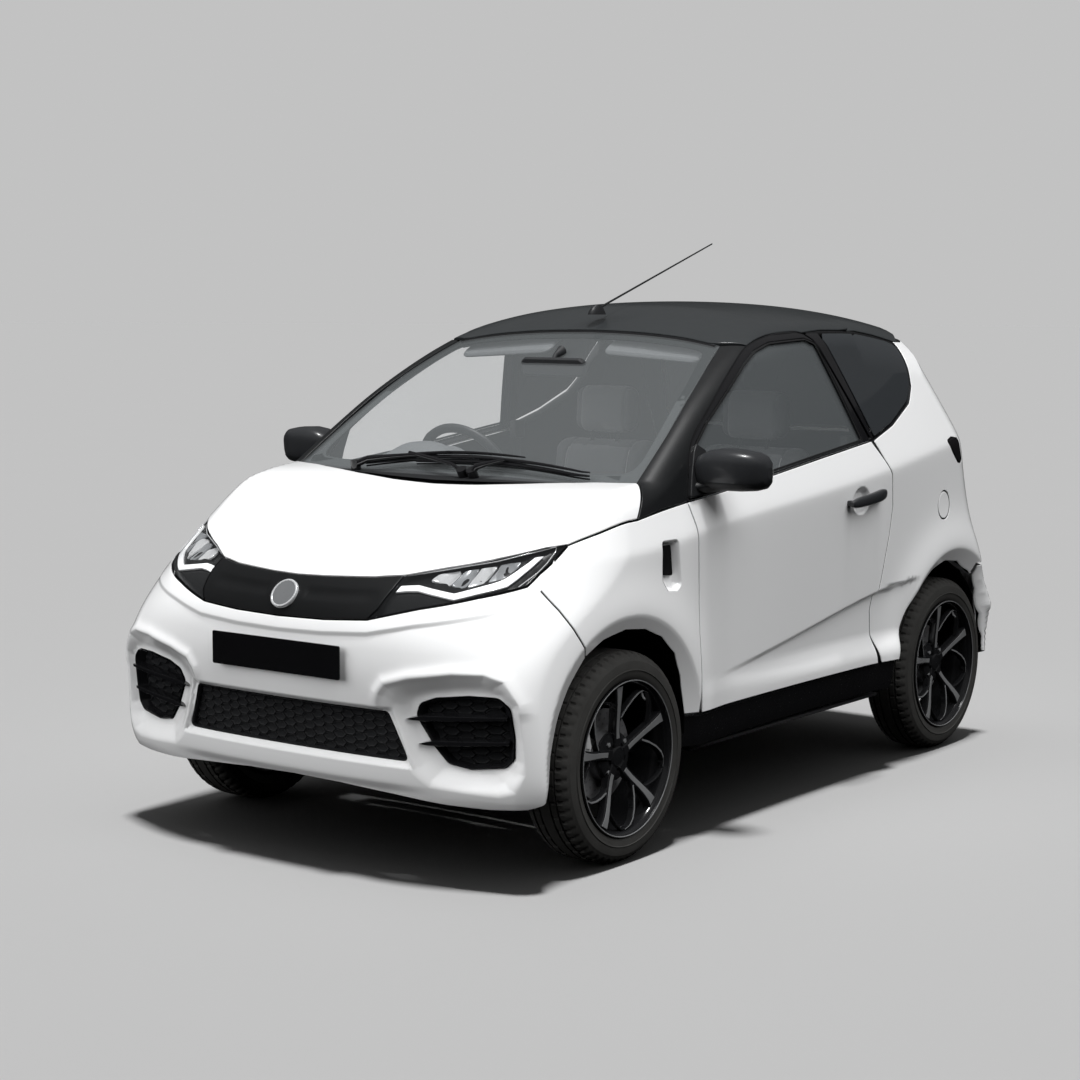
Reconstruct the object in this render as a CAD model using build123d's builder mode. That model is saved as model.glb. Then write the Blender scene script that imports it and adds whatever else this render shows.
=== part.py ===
from build123d import *
import os

# Two-seat microcar.  Millimetres, +X to the car's left, -Y to the front, +Z up,
# origin on the ground under the middle of the car's bounding box.
os.makedirs("parts", exist_ok=True)

# ---------------------------------------------------------------- sizes
HALF_LENGTH = 1394          # bumper to bumper 2788
FRONT_AXLE_Y = -802
REAR_AXLE_Y = 1081
TYRE_R = 281
TYRE_W = 158
RIM_R = 211                 # outside of the rim lip
FRONT_WHEEL_X = 626         # middle of the front tyre
REAR_WHEEL_X = 598
KINGPIN_X = 560
SKIN = 6                    # plain panels
WALL = 52                   # doors, quarter walls, pillars
GAP = 7                     # shut lines
ROOF_EDGE_Z = 1365
ARCH_FRONT = (-820, 296, 326)   # y, z, radius
ARCH_REAR = (1062, 292, 326)
HOUSE_FRONT_R = 352
HOUSE_REAR_R = 304
GRILLE_TOP = 440
GRILLE_BOTTOM = 318
PLATE_W, PLATE_H, PLATE_T = 445, 87, 5
PLATE_Z = 561
HINGE_X = 672
STEER_WHEEL = (-285, -235, 905)
STEER_WHEEL_R = 172

# Plan outline of the lower body at each height, half of it (mirrored in X = 0).
# z, front middle y, front arc end x y, corner x y, corner end x y,
# side bulge x, side end x y, rear corner x y, rear arc end x y, rear middle y
LOWER = [
    (172, -1290, 470, -1262, 606, -1212, 668, -1110, 682, 664, 1150, 640, 1290, 520, 1345, 1352),
    (300, -1345, 530, -1318, 664, -1266, 704, -1186, 694, 690, 1160, 672, 1322, 540, 1380, 1390),
    (470, -1380, 525, -1340, 664, -1268, 708, -1186, 706, 697, 1160, 676, 1322, 540, 1382, 1394),
    (600, -1389, 490, -1335, 632, -1244, 702, -1120, 716, 704, 1150, 672, 1304, 530, 1368, 1380),
    (700, -1362, 470, -1302, 608, -1212, 696, -1085, 722, 706, 1130, 664, 1280, 520, 1344, 1355),
    (800, -1302, 450, -1240, 588, -1160, 690, -1030, 724, 706, 1110, 652, 1252, 510, 1316, 1328),
    (900, -1225, 430, -1165, 570, -1090, 676, -970, 718, 698, 1080, 636, 1222, 500, 1284, 1296),
    (1010, -1130, 400, -1080, 540, -1010, 650, -900, 692, 672, 1050, 612, 1186, 480, 1246, 1258),
]
# Plan outline of the glasshouse, the same columns.
UPPER = [
    (890, -806, 590, -780, 652, -735, 692, -650, 704, 680, 1085, 622, 1225, 490, 1288, 1300),
    (1010, -616, 565, -590, 628, -545, 664, -460, 692, 668, 1046, 606, 1184, 476, 1246, 1258),
    (1365, -54, 468, -30, 522, 2, 548, 80, 566, 524, 880, 490, 968, 404, 1008, 1022),
    (1425, 30, 400, 52, 455, 86, 480, 160, 492, 450, 846, 412, 920, 330, 960, 974),
    (1458, 190, 220, 208, 275, 240, 296, 320, 305, 282, 730, 252, 806, 180, 842, 856),
]
# Height of the bonnet and wing tops: y, middle z, edge z (at x = 700)
BONNET_TOP = [(-1440, 690, 610), (-1320, 766, 700), (-1160, 832, 778), (-950, 892, 838), (-640, 960, 912), (-420, 1020, 940)]

# Side outlines, y z.
DOOR = [(-466, 360), (548, 360), (532, 470), (572, 640), (602, 835), (592, 950), (578, 1040),
        (388, 1362), (340, 1384), (-24, 1350), (-196, 1258), (-420, 1082), (-500, 1000), (-503, 943), (-485, 848), (-479, 570)]
DOOR_GLASS = [(-400, 1050), (-184, 1236), (-20, 1318), (318, 1352), (346, 1336), (536, 1028), (-392, 970)]
QUARTER_GLASS = [(420, 1350), (760, 1326), (886, 1206), (700, 1062), (612, 1044)]


def plan_points(row, d):
    """Points of half an outline, moved inwards by d."""
    z, yf, x1, y1, xm, ym, x2, y2, xs, x3, y3, xn, yn, x4, y4, yr = row
    return {"front": (0, yf + d), "f1": (x1 - 0.3 * d, y1 + 0.95 * d), "fm": (xm - 0.75 * d, ym + 0.75 * d),
            "f2": (x2 - d, y2 + 0.2 * d), "side": (xs - d, 0.5 * (y2 + y3)), "r2": (x3 - d, y3 - 0.2 * d),
            "rm": (xn - 0.75 * d, yn - 0.75 * d), "r1": (x4 - 0.3 * d, y4 - 0.95 * d), "rear": (0, yr - d)}


def flip(p):
    return (-p[0], p[1])


def hull(rows, d, drop=0):
    """Closed solid through the outlines, drawn inwards by d."""
    with BuildPart() as body:
        for row in rows:
            p = plan_points(row, d)
            with BuildSketch(Plane.XY.offset(row[0] - drop)):
                with BuildLine():
                    ThreePointArc(flip(p["f1"]), p["front"], p["f1"])
                    ThreePointArc(p["f1"], p["fm"], p["f2"])
                    ThreePointArc(p["f2"], p["side"], p["r2"])
                    ThreePointArc(p["r2"], p["rm"], p["r1"])
                    ThreePointArc(p["r1"], p["rear"], flip(p["r1"]))
                    ThreePointArc(flip(p["r1"]), flip(p["rm"]), flip(p["r2"]))
                    ThreePointArc(flip(p["r2"]), flip(p["side"]), flip(p["f2"]))
                    ThreePointArc(flip(p["f2"]), flip(p["fm"]), flip(p["f1"]))
                make_face()
        loft(ruled=True)
    return body.part


def under_bonnet(drop):
    """Everything below the bonnet surface, lowered by drop."""
    with BuildPart() as below:
        for y, zc, ze in BONNET_TOP:
            with BuildSketch(Plane(origin=(0, y, 0), x_dir=(1, 0, 0), z_dir=(0, -1, 0))):
                with BuildLine():
                    Polyline((-700, ze - drop), (-700, 0), (700, 0), (700, ze - drop))
                    ThreePointArc((-700, ze - drop), (0, zc - drop), (700, ze - drop))
                make_face()
        loft(ruled=True)
        # wide flanks so that nothing is cut beyond x = 700
        for s in (-1, 1):
            with BuildSketch(Plane(origin=(s * 700, 0, 0), x_dir=(0, 1, 0), z_dir=(1, 0, 0))):
                with BuildLine():
                    Polyline(*[(y, ze - drop) for y, zc, ze in BONNET_TOP], (BONNET_TOP[-1][0], 0), (BONNET_TOP[0][0], 0), close=True)
                make_face()
            extrude(amount=s * 100)
    return below.part


def side_plate(points, x0, x1):
    """Prism over a side outline from x0 to x1."""
    with BuildPart() as plate:
        with BuildSketch(Plane(origin=(x0, 0, 0), x_dir=(0, 1, 0), z_dir=(1, 0, 0))):
            with BuildLine():
                Polyline(*points, close=True)
            make_face()
        extrude(amount=x1 - x0)
    return plate.part


def side_plate_offset(points, x0, x1, grow):
    """The same, with the outline grown or shrunk."""
    with BuildPart() as plate:
        with BuildSketch(Plane(origin=(x0, 0, 0), x_dir=(0, 1, 0), z_dir=(1, 0, 0))):
            with BuildLine():
                Polyline(*points, close=True)
            make_face()
            offset(amount=grow, kind=Kind.INTERSECTION)
        extrude(amount=x1 - x0)
    return plate.part


def top_plate(points, z0, z1):
    """Prism over a plan outline from z0 to z1."""
    with BuildPart() as plate:
        with BuildSketch(Plane.XY.offset(z0)):
            with BuildLine():
                Polyline(*points, close=True)
            make_face()
        extrude(amount=z1 - z0)
    return plate.part


def front_plate(points, y0, y1):
    """Prism over a front outline (x, z) from y0 to y1."""
    with BuildPart() as plate:
        with BuildSketch(Plane(origin=(0, y0, 0), x_dir=(1, 0, 0), z_dir=(0, -1, 0))):
            with BuildLine():
                Polyline(*points, close=True)
            make_face()
        extrude(amount=-(y1 - y0))
    return plate.part


def block(x0, x1, y0, y1, z0, z1):
    return Pos((x0 + x1) / 2, (y0 + y1) / 2, (z0 + z1) / 2) * Box(x1 - x0, y1 - y0, z1 - z0)


def rod(x0, x1, y, z, r):
    """Cylinder along X."""
    return Pos((x0 + x1) / 2, y, z) * Rot(0, 90, 0) * Cylinder(r, x1 - x0)


# ---------------------------------------------------------------- hulls
low_out = hull(LOWER, 0)
low_thin = hull(LOWER, SKIN)
low_wall = hull(LOWER, WALL)
low_lamp = hull(LOWER, 70)
up_out = hull(UPPER, 0)
up_thin = hull(UPPER, SKIN, 4)
up_wall = hull(UPPER, WALL, 22)
below = under_bonnet(0)
below_thin = under_bonnet(SKIN)
front_zone = block(-900, 900, -1500, -430, 0, 1100)
rear_zone = block(-900, 900, -506, 1500, 0, 1600)
left_half = block(0, 900, -1500, 1500, 0, 1700)

nose = (low_out & below) & front_zone
nose_in = (low_thin & below_thin) & front_zone
nose_skin = nose - nose_in
tail = (low_out & rear_zone) + (up_out & rear_zone)
tail_in = (low_wall + up_wall)
tail_wall = tail - tail_in
tail_skin = tail - (low_thin + up_thin)

fy, fz, fr = ARCH_FRONT
ry, rz, rr = ARCH_REAR
arches = (rod(-900, 900, fy, fz, fr) + rod(-900, 900, ry, rz, rr)
          + block(-900, 900, fy - fr, fy + fr, 0, fz) + block(-900, 900, ry - rr, ry + rr, 0, rz))
house_space = (rod(400, 900, FRONT_AXLE_Y, TYRE_R, HOUSE_FRONT_R) + rod(400, 900, REAR_AXLE_Y, TYRE_R, HOUSE_REAR_R)
               + block(400, 900, FRONT_AXLE_Y - HOUSE_FRONT_R, FRONT_AXLE_Y + HOUSE_FRONT_R, 0, TYRE_R)
               + block(400, 900, REAR_AXLE_Y - HOUSE_REAR_R, REAR_AXLE_Y + HOUSE_REAR_R, 0, TYRE_R))
house_both = house_space + house_space.mirror(Plane.YZ)

# ---------------------------------------------------------------- front end
bonnet_line = [(-800, 1100), (-800, 884), (-655, 868), (-355, 798), (0, 764), (355, 798), (655, 868), (800, 884), (800, 1100)]
bonnet_plan = [(-628, -724), (-300, -742), (300, -742), (628, -724), (648, -900), (652, -1030), (700, -1500), (-700, -1500), (-652, -1030), (-648, -900)]
bonnet_region = front_plate(bonnet_line, -1500, -400) & top_plate(bonnet_plan, 700, 1100)
bonnet_gap = front_plate([(x, z - GAP) for x, z in bonnet_line], -1500, -400) & top_plate(
    [(-635, -716), (-300, -734), (300, -734), (635, -716), (655, -900), (659, -1030), (707, -1500), (-707, -1500), (-659, -1030), (-655, -900)], 690, 1100)
with BuildPart() as bonnet:
    add(nose_skin)
    add(bonnet_region, mode=Mode.INTERSECT)

lamp_outline = [(348, 790), (500, 822), (655, 860), (672, 850), (628, 768), (560, 742), (470, 722), (352, 742)]
lamp_region = front_plate(lamp_outline, -1500, -900)
panel_outline = [(-345, 787), (0, 756), (345, 787), (345, 742), (282, 676), (0, 666), (-282, 676), (-345, 742)]
panel_region = front_plate(panel_outline, -1500, -1100)
lamp_both = lamp_region + lamp_region.mirror(Plane.YZ)
with BuildPart() as headlamps:
    add((nose - low_lamp) & lamp_both)
with BuildPart() as front_panel:
    add((nose - hull(LOWER, 14)) & panel_region)

grille_outline = [(-329, GRILLE_TOP), (329, GRILLE_TOP), (385, GRILLE_BOTTOM), (-385, GRILLE_BOTTOM)]
fog_outline = [(470, 500), (560, 512), (640, 500), (660, 470), (655, 340), (600, 300), (520, 310), (455, 400), (430, 470)]
grille_region = front_plate(grille_outline, -1500, -1100)
fog_region = front_plate(fog_outline, -1500, -1100)
fog_both = fog_region + fog_region.mirror(Plane.YZ)

seam = [(-1500, 0), (-1040, 0), (-1030, 585), (-1112, 800), (-1112, 900), (-1500, 900)]
bumper_side = side_plate(seam, -900, 900)
with BuildPart() as front_bumper:
    add(nose_skin)
    add(bumper_side, mode=Mode.INTERSECT)
    add(bonnet_gap, mode=Mode.SUBTRACT)
    add(lamp_both, mode=Mode.SUBTRACT)
    add(panel_region, mode=Mode.SUBTRACT)
    add(grille_region, mode=Mode.SUBTRACT)
    add(fog_both, mode=Mode.SUBTRACT)
    add(arches, mode=Mode.SUBTRACT)
grille_band = hull(LOWER, 26) - hull(LOWER, 32)
with BuildPart() as lower_grille:                    # middle grille and the two corner ones
    add(grille_band & grille_region)
    add(grille_band & fog_both)

fender_outline = [(-1109, 800), (-1027, 585), (-1035, 200), (-600, 200), (-560, 352), (-473, 352),
                  (-486, 570), (-492, 848), (-511, 943), (-511, 1100), (-1109, 1100)]
fender_region = side_plate(fender_outline, 300, 900)
fender_top = block(0, 620, -760, -400, 700, 1200)
with BuildPart() as fender_left:                     # one wing, mirrored below
    add(nose_skin & left_half)
    add(fender_region, mode=Mode.INTERSECT)
    add(bonnet_gap, mode=Mode.SUBTRACT)
    add(lamp_region, mode=Mode.SUBTRACT)
    add(arches, mode=Mode.SUBTRACT)
    add(fender_top, mode=Mode.SUBTRACT)
with BuildPart() as fenders:
    add(fender_left.part)
    add(mirror(fender_left.part, about=Plane.YZ, mode=Mode.PRIVATE))

# ---------------------------------------------------------------- doors
door_region = side_plate(DOOR, 300, 900)
door_gap = side_plate_offset(DOOR, 300, 900, GAP)
door_gaps = door_gap + door_gap.mirror(Plane.YZ)
glass_region = side_plate(DOOR_GLASS, 300, 900)
pillar_zone = front_plate([(0, 945), (652, 945), (650, 985), (512, 1345), (512, 1420), (0, 1420)], -900, 120)
pillar_gap = front_plate([(0, 938), (658, 938), (657, 985), (519, 1345), (519, 1420), (0, 1420)], -900, 120)
door_gaps_left = door_gap - pillar_zone
door_gaps = door_gaps_left + door_gaps_left.mirror(Plane.YZ)
with BuildPart() as door_left:
    add(tail_wall & left_half)
    add(door_region, mode=Mode.INTERSECT)
    add(glass_region, mode=Mode.SUBTRACT)
    add(pillar_gap, mode=Mode.SUBTRACT)
with BuildPart() as door_left_glass:
    add((up_out - up_thin) & left_half)
    add(glass_region, mode=Mode.INTERSECT)
    add(pillar_gap, mode=Mode.SUBTRACT)

with BuildPart() as door_right:
    add(mirror(door_left.part, about=Plane.YZ, mode=Mode.PRIVATE))
with BuildPart() as door_right_glass:
    add(mirror(door_left_glass.part, about=Plane.YZ, mode=Mode.PRIVATE))

# mirror: pod on a short foot on the corner of the door
pod = loft_pod = None
with BuildPart() as mirror_left:
    with BuildSketch(Plane(origin=(690, 0, 0), x_dir=(0, 1, 0), z_dir=(1, 0, 0))):
        with Locations((-385, 1012)):
            RectangleRounded(90, 50, 20)
    with BuildSketch(Plane(origin=(730, 0, 0), x_dir=(0, 1, 0), z_dir=(1, 0, 0))):
        with Locations((-392, 1020)):
            RectangleRounded(120, 104, 30)
    with BuildSketch(Plane(origin=(840, 0, 0), x_dir=(0, 1, 0), z_dir=(1, 0, 0))):
        with Locations((-385, 1022)):
            RectangleRounded(112, 100, 30)
    with BuildSketch(Plane(origin=(872, 0, 0), x_dir=(0, 1, 0), z_dir=(1, 0, 0))):
        with Locations((-375, 1022)):
            RectangleRounded(74, 70, 24)
    loft(ruled=True)
with BuildPart() as mirror_right:
    add(mirror(mirror_left.part, about=Plane.YZ, mode=Mode.PRIVATE))
handle_band = (hull(LOWER, -14) - hull(LOWER, -3))
handle_outline = side_plate([(316, 862), (528, 878), (528, 890), (500, 892), (318, 874)], 300, 900)
handle_feet = hull(LOWER, -4) - low_out
foot_outline = side_plate([(318, 862), (345, 864), (345, 876), (318, 874)], 300, 900) + side_plate([(500, 876), (528, 878), (528, 890), (500, 892)], 300, 900)
with BuildPart() as door_handle_left:
    add((handle_band & handle_outline) + (handle_feet & foot_outline))
with BuildPart() as door_handle_right:
    add(mirror(door_handle_left.part, about=Plane.YZ, mode=Mode.PRIVATE))

# ---------------------------------------------------------------- rear end
tailgate_outline = [(-400, 1352), (400, 1352), (470, 1240), (545, 1040), (560, 900), (540, 680), (500, 612), (-500, 612), (-540, 680), (-560, 900), (-545, 1040), (-470, 1240)]
tailgate_region = front_plate(tailgate_outline, 900, 1500)
tailgate_gap = front_plate([(-412, 1366), (412, 1366), (478, 1243), (553, 1041), (568, 900), (548, 678), (504, 603), (-504, 603), (-548, 678), (-568, 900), (-553, 1041), (-478, 1243)], 900, 1500)
window_region = front_plate([(-372, 1318), (372, 1318), (490, 1040), (-490, 1040)], 900, 1500)
gate_wall = (tail - (hull(LOWER, 32) + hull(UPPER, 32, 14)))
with BuildPart() as tailgate:
    add(gate_wall & tailgate_region)
    add(window_region, mode=Mode.SUBTRACT)
with BuildPart() as rear_window:
    add((up_out - up_thin) & window_region)

rear_seam = [(2000, 0), (1385, 0), (1330, 560), (1250, 596), (1250, 604), (2000, 604)]
rear_side = side_plate([(1500, 0), (1366, 0), (1366, 290), (1345, 430), (1300, 540), (1240, 598), (1500, 598)], -900, 900)
rear_side_gap = side_plate([(1500, 0), (1359, 0), (1359, 287), (1338, 426), (1294, 534), (1228, 604), (1500, 604)], -900, 900)
with BuildPart() as rear_bumper:
    add(tail_skin & rear_side)
    add(arches, mode=Mode.SUBTRACT)
lamp_t_outline = side_plate([(1060, 1030), (1120, 1034), (1190, 930), (1150, 950), (1100, 1000)], 300, 900)
tail_band = tail - (hull(LOWER, 40) + hull(UPPER, 40, 14))
with BuildPart() as tail_lamp_half:
    add((tail_band & left_half) & lamp_t_outline)
    add(tailgate_gap, mode=Mode.SUBTRACT)
with BuildPart() as tail_lamps:
    add(tail_lamp_half.part)
    add(mirror(tail_lamp_half.part, about=Plane.YZ, mode=Mode.PRIVATE))
quarter_outline = [(555, 352), (1500, 352), (1500, 1500), (300, 1500), (300, 352)]
quarter_region = side_plate([(480, 352), (1500, 352), (1500, 1366), (360, 1366), (360, 1000)], 300, 900)
quarter_glass_region = side_plate(QUARTER_GLASS, 300, 900)
roof_cut = block(-900, 900, -900, 1500, ROOF_EDGE_Z + 1, 1600)
with BuildPart() as quarter_panel_left:
    add(tail_wall & left_half)
    add(quarter_region, mode=Mode.INTERSECT)
    add(door_gap, mode=Mode.SUBTRACT)
    add(quarter_glass_region, mode=Mode.SUBTRACT)
    add(tailgate_gap, mode=Mode.SUBTRACT)
    add(rear_side_gap, mode=Mode.SUBTRACT)
    add(lamp_t_outline, mode=Mode.SUBTRACT)
    add(arches, mode=Mode.SUBTRACT)
    add(house_space, mode=Mode.SUBTRACT)
with BuildPart() as quarter_panel_right:
    add(mirror(quarter_panel_left.part, about=Plane.YZ, mode=Mode.PRIVATE))
with BuildPart() as quarter_glass_half:
    add((up_out - up_thin) & left_half)
    add(quarter_glass_region, mode=Mode.INTERSECT)
with BuildPart() as quarter_glass:
    add(quarter_glass_half.part)
    add(mirror(quarter_glass_half.part, about=Plane.YZ, mode=Mode.PRIVATE))

# ---------------------------------------------------------------- roof and screen
screen_region = front_plate([(-600, 985), (600, 985), (462, 1345), (-462, 1345)], -900, 80)
cap_zone = block(-900, 900, -900, 1500, ROOF_EDGE_Z + 1, 1600)
with BuildPart() as windscreen:
    add(up_out - up_thin)
    add(screen_region, mode=Mode.INTERSECT)
with BuildPart() as roof_panel:
    add(up_out - up_thin)
    add(cap_zone, mode=Mode.INTERSECT)
    add(door_gaps, mode=Mode.SUBTRACT)
    add(tailgate_gap, mode=Mode.SUBTRACT)
frame_zone = side_plate([(-900, 930), (-505, 930), (-380, 1020), (-150, 1205), (20, 1305), (640, 1340), (1500, 1340), (1500, 1600), (-900, 1600)], -900, 900)
screen_hole = front_plate([(-600, 985), (600, 985), (462, 1345), (-462, 1345)], -900, 80)
under_rail = block(-900, 900, -1500, 1500, 0, ROOF_EDGE_Z)
rear_rail = side_plate([(360, 1000), (1500, 1000), (1500, 1366), (360, 1366)], -900, 900)
below_top = (low_out & below) & front_zone
with BuildPart() as roof_frame:
    add((up_out & under_rail) + (up_thin & cap_zone))
    add(up_wall, mode=Mode.SUBTRACT)
    add(frame_zone, mode=Mode.INTERSECT)
    add(screen_hole, mode=Mode.SUBTRACT)
    add(door_gaps, mode=Mode.SUBTRACT)
    add(tailgate_gap, mode=Mode.SUBTRACT)
    add(rear_rail, mode=Mode.SUBTRACT)
    add(below_top, mode=Mode.SUBTRACT)
with BuildPart() as antenna:
    with BuildSketch(Plane(origin=(0, 45, 1452), z_dir=(0, 640, 205))):
        Circle(5)
    extrude(amount=640)
    with BuildSketch(Plane(origin=(0, 45, 1439), z_dir=(0, 0, 1))):
        Circle(18)
    extrude(amount=20)

# ---------------------------------------------------------------- scuttle and wipers
scuttle_side = side_plate([(-735, 840), (-735, 925), (-622, 925), (-622, 840)], -625, 625)
scuttle_ends = block(560, 700, -800, -600, 800, 1000) + block(-700, -560, -800, -600, 800, 1000)
with BuildPart() as scuttle:
    add(scuttle_side)
    add(up_thin, mode=Mode.INTERSECT)
    add(bonnet_gap, mode=Mode.SUBTRACT)
    add(scuttle_ends, mode=Mode.SUBTRACT)
WIPERS = [  # pivot x, arm angle from the X axis, arm length
    (-330, 6, 420),
    (150, 4, 420),
]
screen_plane = Plane(origin=(0, -712, 962), x_dir=(1, 0, 0), z_dir=(0, -0.5345, 0.845))
with BuildPart() as wipers:
    for px, angle, length in WIPERS:
        with BuildSketch(screen_plane):
            with Locations(Location((px, 12, 0), (0, 0, angle))):
                with Locations((length / 2, 0)):
                    Rectangle(length, 14)
        extrude(amount=12)
        with BuildSketch(screen_plane):
            with Locations(Location((px, 12, 0), (0, 0, angle))):
                Circle(16)
        extrude(amount=20, both=False)

# ---------------------------------------------------------------- floor and structure
HALF_FLOOR = 640
with BuildPart() as floor_pan:
    with BuildSketch(Plane.XY.offset(178)):          # flat floor
        Polygon((-636, -440), (-392, -440), (-392, -640), (392, -640), (392, -440), (636, -440), (636, 740), (-636, 740), align=None)
    extrude(amount=22)
    with BuildSketch(Plane.XY.offset(178)):          # toe board
        Polygon((-392, -640), (392, -640), (392, -622), (-392, -622), align=None)
    extrude(amount=640)
    with BuildSketch(Plane.XY.offset(640)):          # bulkhead above the wheel houses
        Polygon((-630, -640), (630, -640), (630, -622), (-630, -622), align=None)
    extrude(amount=200)
    with BuildSketch(Plane.XY.offset(640)):          # shelves over the front wheel houses
        Polygon((-636, -640), (-380, -640), (-380, -440), (-636, -440), align=None)
        Polygon((636, -640), (380, -640), (380, -440), (636, -440), align=None)
    extrude(amount=12)
    for s in (-1, 1):                                # foot well sides
        with BuildSketch(Plane.XY.offset(178)):
            Polygon((s * 392, -640), (s * 380, -640), (s * 380, -428), (s * 392, -428), align=None)
            Polygon((s * 380, -440), (s * 636, -440), (s * 636, -428), (s * 380, -428), align=None)
        extrude(amount=474)
    with BuildSketch(Plane.XY.offset(178)):          # boot step
        Polygon((-636, 722), (636, 722), (636, 740), (-636, 740), align=None)
    extrude(amount=212)
    with BuildSketch(Plane.XY.offset(372)):          # boot floor
        Polygon((-450, 740), (450, 740), (450, 1330), (-450, 1330), align=None)
    extrude(amount=18)
    with BuildSketch(Plane.XY.offset(372)):          # boot back wall
        Polygon((-450, 1312), (450, 1312), (450, 1330), (-450, 1330), align=None)
    extrude(amount=225)
sill_region = side_plate([(-560, 345), (-540, 262), (620, 262), (700, 345)], 638, 900)
sill_band = (low_out - hull(LOWER, 56)) & left_half
with BuildPart() as sill_half:
    add(sill_band)
    add(sill_region, mode=Mode.INTERSECT)
    add(arches, mode=Mode.SUBTRACT)
    add(house_space, mode=Mode.SUBTRACT)
with BuildPart() as sills:
    add(sill_half.part)
    add(mirror(sill_half.part, about=Plane.YZ, mode=Mode.PRIVATE))
with BuildPart() as wheelhouse_liners:
    for y, r, x0, x1 in [(FRONT_AXLE_Y, HOUSE_FRONT_R, 396, 640), (REAR_AXLE_Y, HOUSE_REAR_R, 458, 632)]:
        for s in (-1, 1):
            with BuildSketch(Plane(origin=(s * x0, 0, 0), x_dir=(0, 1, 0), z_dir=(1, 0, 0))):
                with BuildLine():
                    Line((y - r, 240), (y - r, TYRE_R))
                    ThreePointArc((y - r, TYRE_R), (y, TYRE_R + r), (y + r, TYRE_R))
                    Line((y + r, TYRE_R), (y + r, 240))
                    Line((y + r, 240), (y + r - 5, 240))
                    Line((y + r - 5, 240), (y + r - 5, TYRE_R))
                    ThreePointArc((y + r - 5, TYRE_R), (y, TYRE_R + r - 5), (y - r + 5, TYRE_R))
                    Line((y - r + 5, TYRE_R), (y - r + 5, 240))
                    Line((y - r + 5, 240), (y - r, 240))
                make_face()
            extrude(amount=s * (x1 - x0))

# ---------------------------------------------------------------- under the bonnet and the axles
with BuildPart() as engine_block:
    with BuildSketch(Plane.XY.offset(300)):
        with Locations((0, -900)):
            Rectangle(520, 360)
    extrude(amount=330)
with BuildPart() as front_subframe:
    with BuildSketch(Plane.XY.offset(196)):
        with Locations((0, -802)):
            Rectangle(640, 300)
            Rectangle(560, 220, mode=Mode.SUBTRACT)
    extrude(amount=50)
    for s in (-1, 1):
        with BuildSketch(Plane.XY.offset(200)):
            Polygon((s * 300, -900), (s * 300, -700), (s * 500, -790), (s * 500, -814), align=None)
        extrude(amount=22)
with BuildPart() as rear_axle:
    with BuildSketch(Plane.YZ.offset(-500)):
        with Locations((REAR_AXLE_Y, TYRE_R)):
            Circle(32)
    extrude(amount=1000)
    for s in (-1, 1):
        with BuildSketch(Plane.YZ.offset(s * 380)):
            Polygon((746, 250), (746, 310), (REAR_AXLE_Y, 318), (REAR_AXLE_Y, 244), align=None)
        extrude(amount=s * 40)
        with BuildSketch(Plane.YZ.offset(s * 490)):
            with Locations((REAR_AXLE_Y, TYRE_R)):
                Circle(24)
        extrude(amount=s * 84)

# ---------------------------------------------------------------- cabin
with BuildPart() as dashboard:
    with BuildSketch(Plane(origin=(-596, 0, 0), x_dir=(0, 1, 0), z_dir=(1, 0, 0))):
        with BuildLine():
            Polyline((-616, 700), (-616, 900), (-560, 940), (-420, 950), (-360, 905), (-372, 780), (-440, 700), close=True)
        make_face()
    extrude(amount=1192)
    with BuildSketch(Plane(origin=(-420, 0, 0), x_dir=(0, 1, 0), z_dir=(1, 0, 0))):
        with BuildLine():
            Polyline((-520, 940), (-500, 985), (-400, 990), (-350, 905), (-400, 900), close=True)
        make_face()
    extrude(amount=270)
    # steering column
    with BuildSketch(Plane(origin=(STEER_WHEEL[0], -400, 828), z_dir=(0, 165 - 24, 77 - 11))):
        Circle(30)
    extrude(amount=154)
SEAT_X = (285, -285)
with BuildPart() as seats:
    for x in SEAT_X:
        with BuildSketch(Plane(origin=(x - 235, 0, 0), x_dir=(0, 1, 0), z_dir=(1, 0, 0))):
            with BuildLine():
                Polyline((-60, 300), (-90, 420), (-60, 465), (340, 425), (440, 1020), (500, 1040), (560, 1010), (500, 420), (440, 330), close=True)
            make_face()
        extrude(amount=470)
        with BuildSketch(Plane(origin=(x - 130, 0, 0), x_dir=(0, 1, 0), z_dir=(1, 0, 0))):
            with BuildLine():
                Polyline((462, 1010), (478, 1190), (530, 1210), (572, 1180), (545, 1010), close=True)
            make_face()
        extrude(amount=260)
        with BuildSketch(Plane.XY.offset(200)):
            with Locations((x, 160)):
                Rectangle(360, 360)
        extrude(amount=140)

# ---------------------------------------------------------------- plates
with BuildPart() as number_plate_front:
    with BuildSketch(Plane(origin=(0, -HALF_LENGTH, PLATE_Z), x_dir=(1, 0, 0), z_dir=(0, -1, 0))):
        RectangleRounded(PLATE_W, PLATE_H, 8)
    extrude(amount=-PLATE_T)
    with BuildSketch(Plane(origin=(0, -HALF_LENGTH + PLATE_T, PLATE_Z), x_dir=(1, 0, 0), z_dir=(0, -1, 0))):
        for s in (-1, 1):                            # feet that carry it off the bumper
            with Locations((s * 180, 0)):
                Rectangle(24, 60)
    extrude(amount=-20)
    add(low_out, mode=Mode.SUBTRACT)

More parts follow.
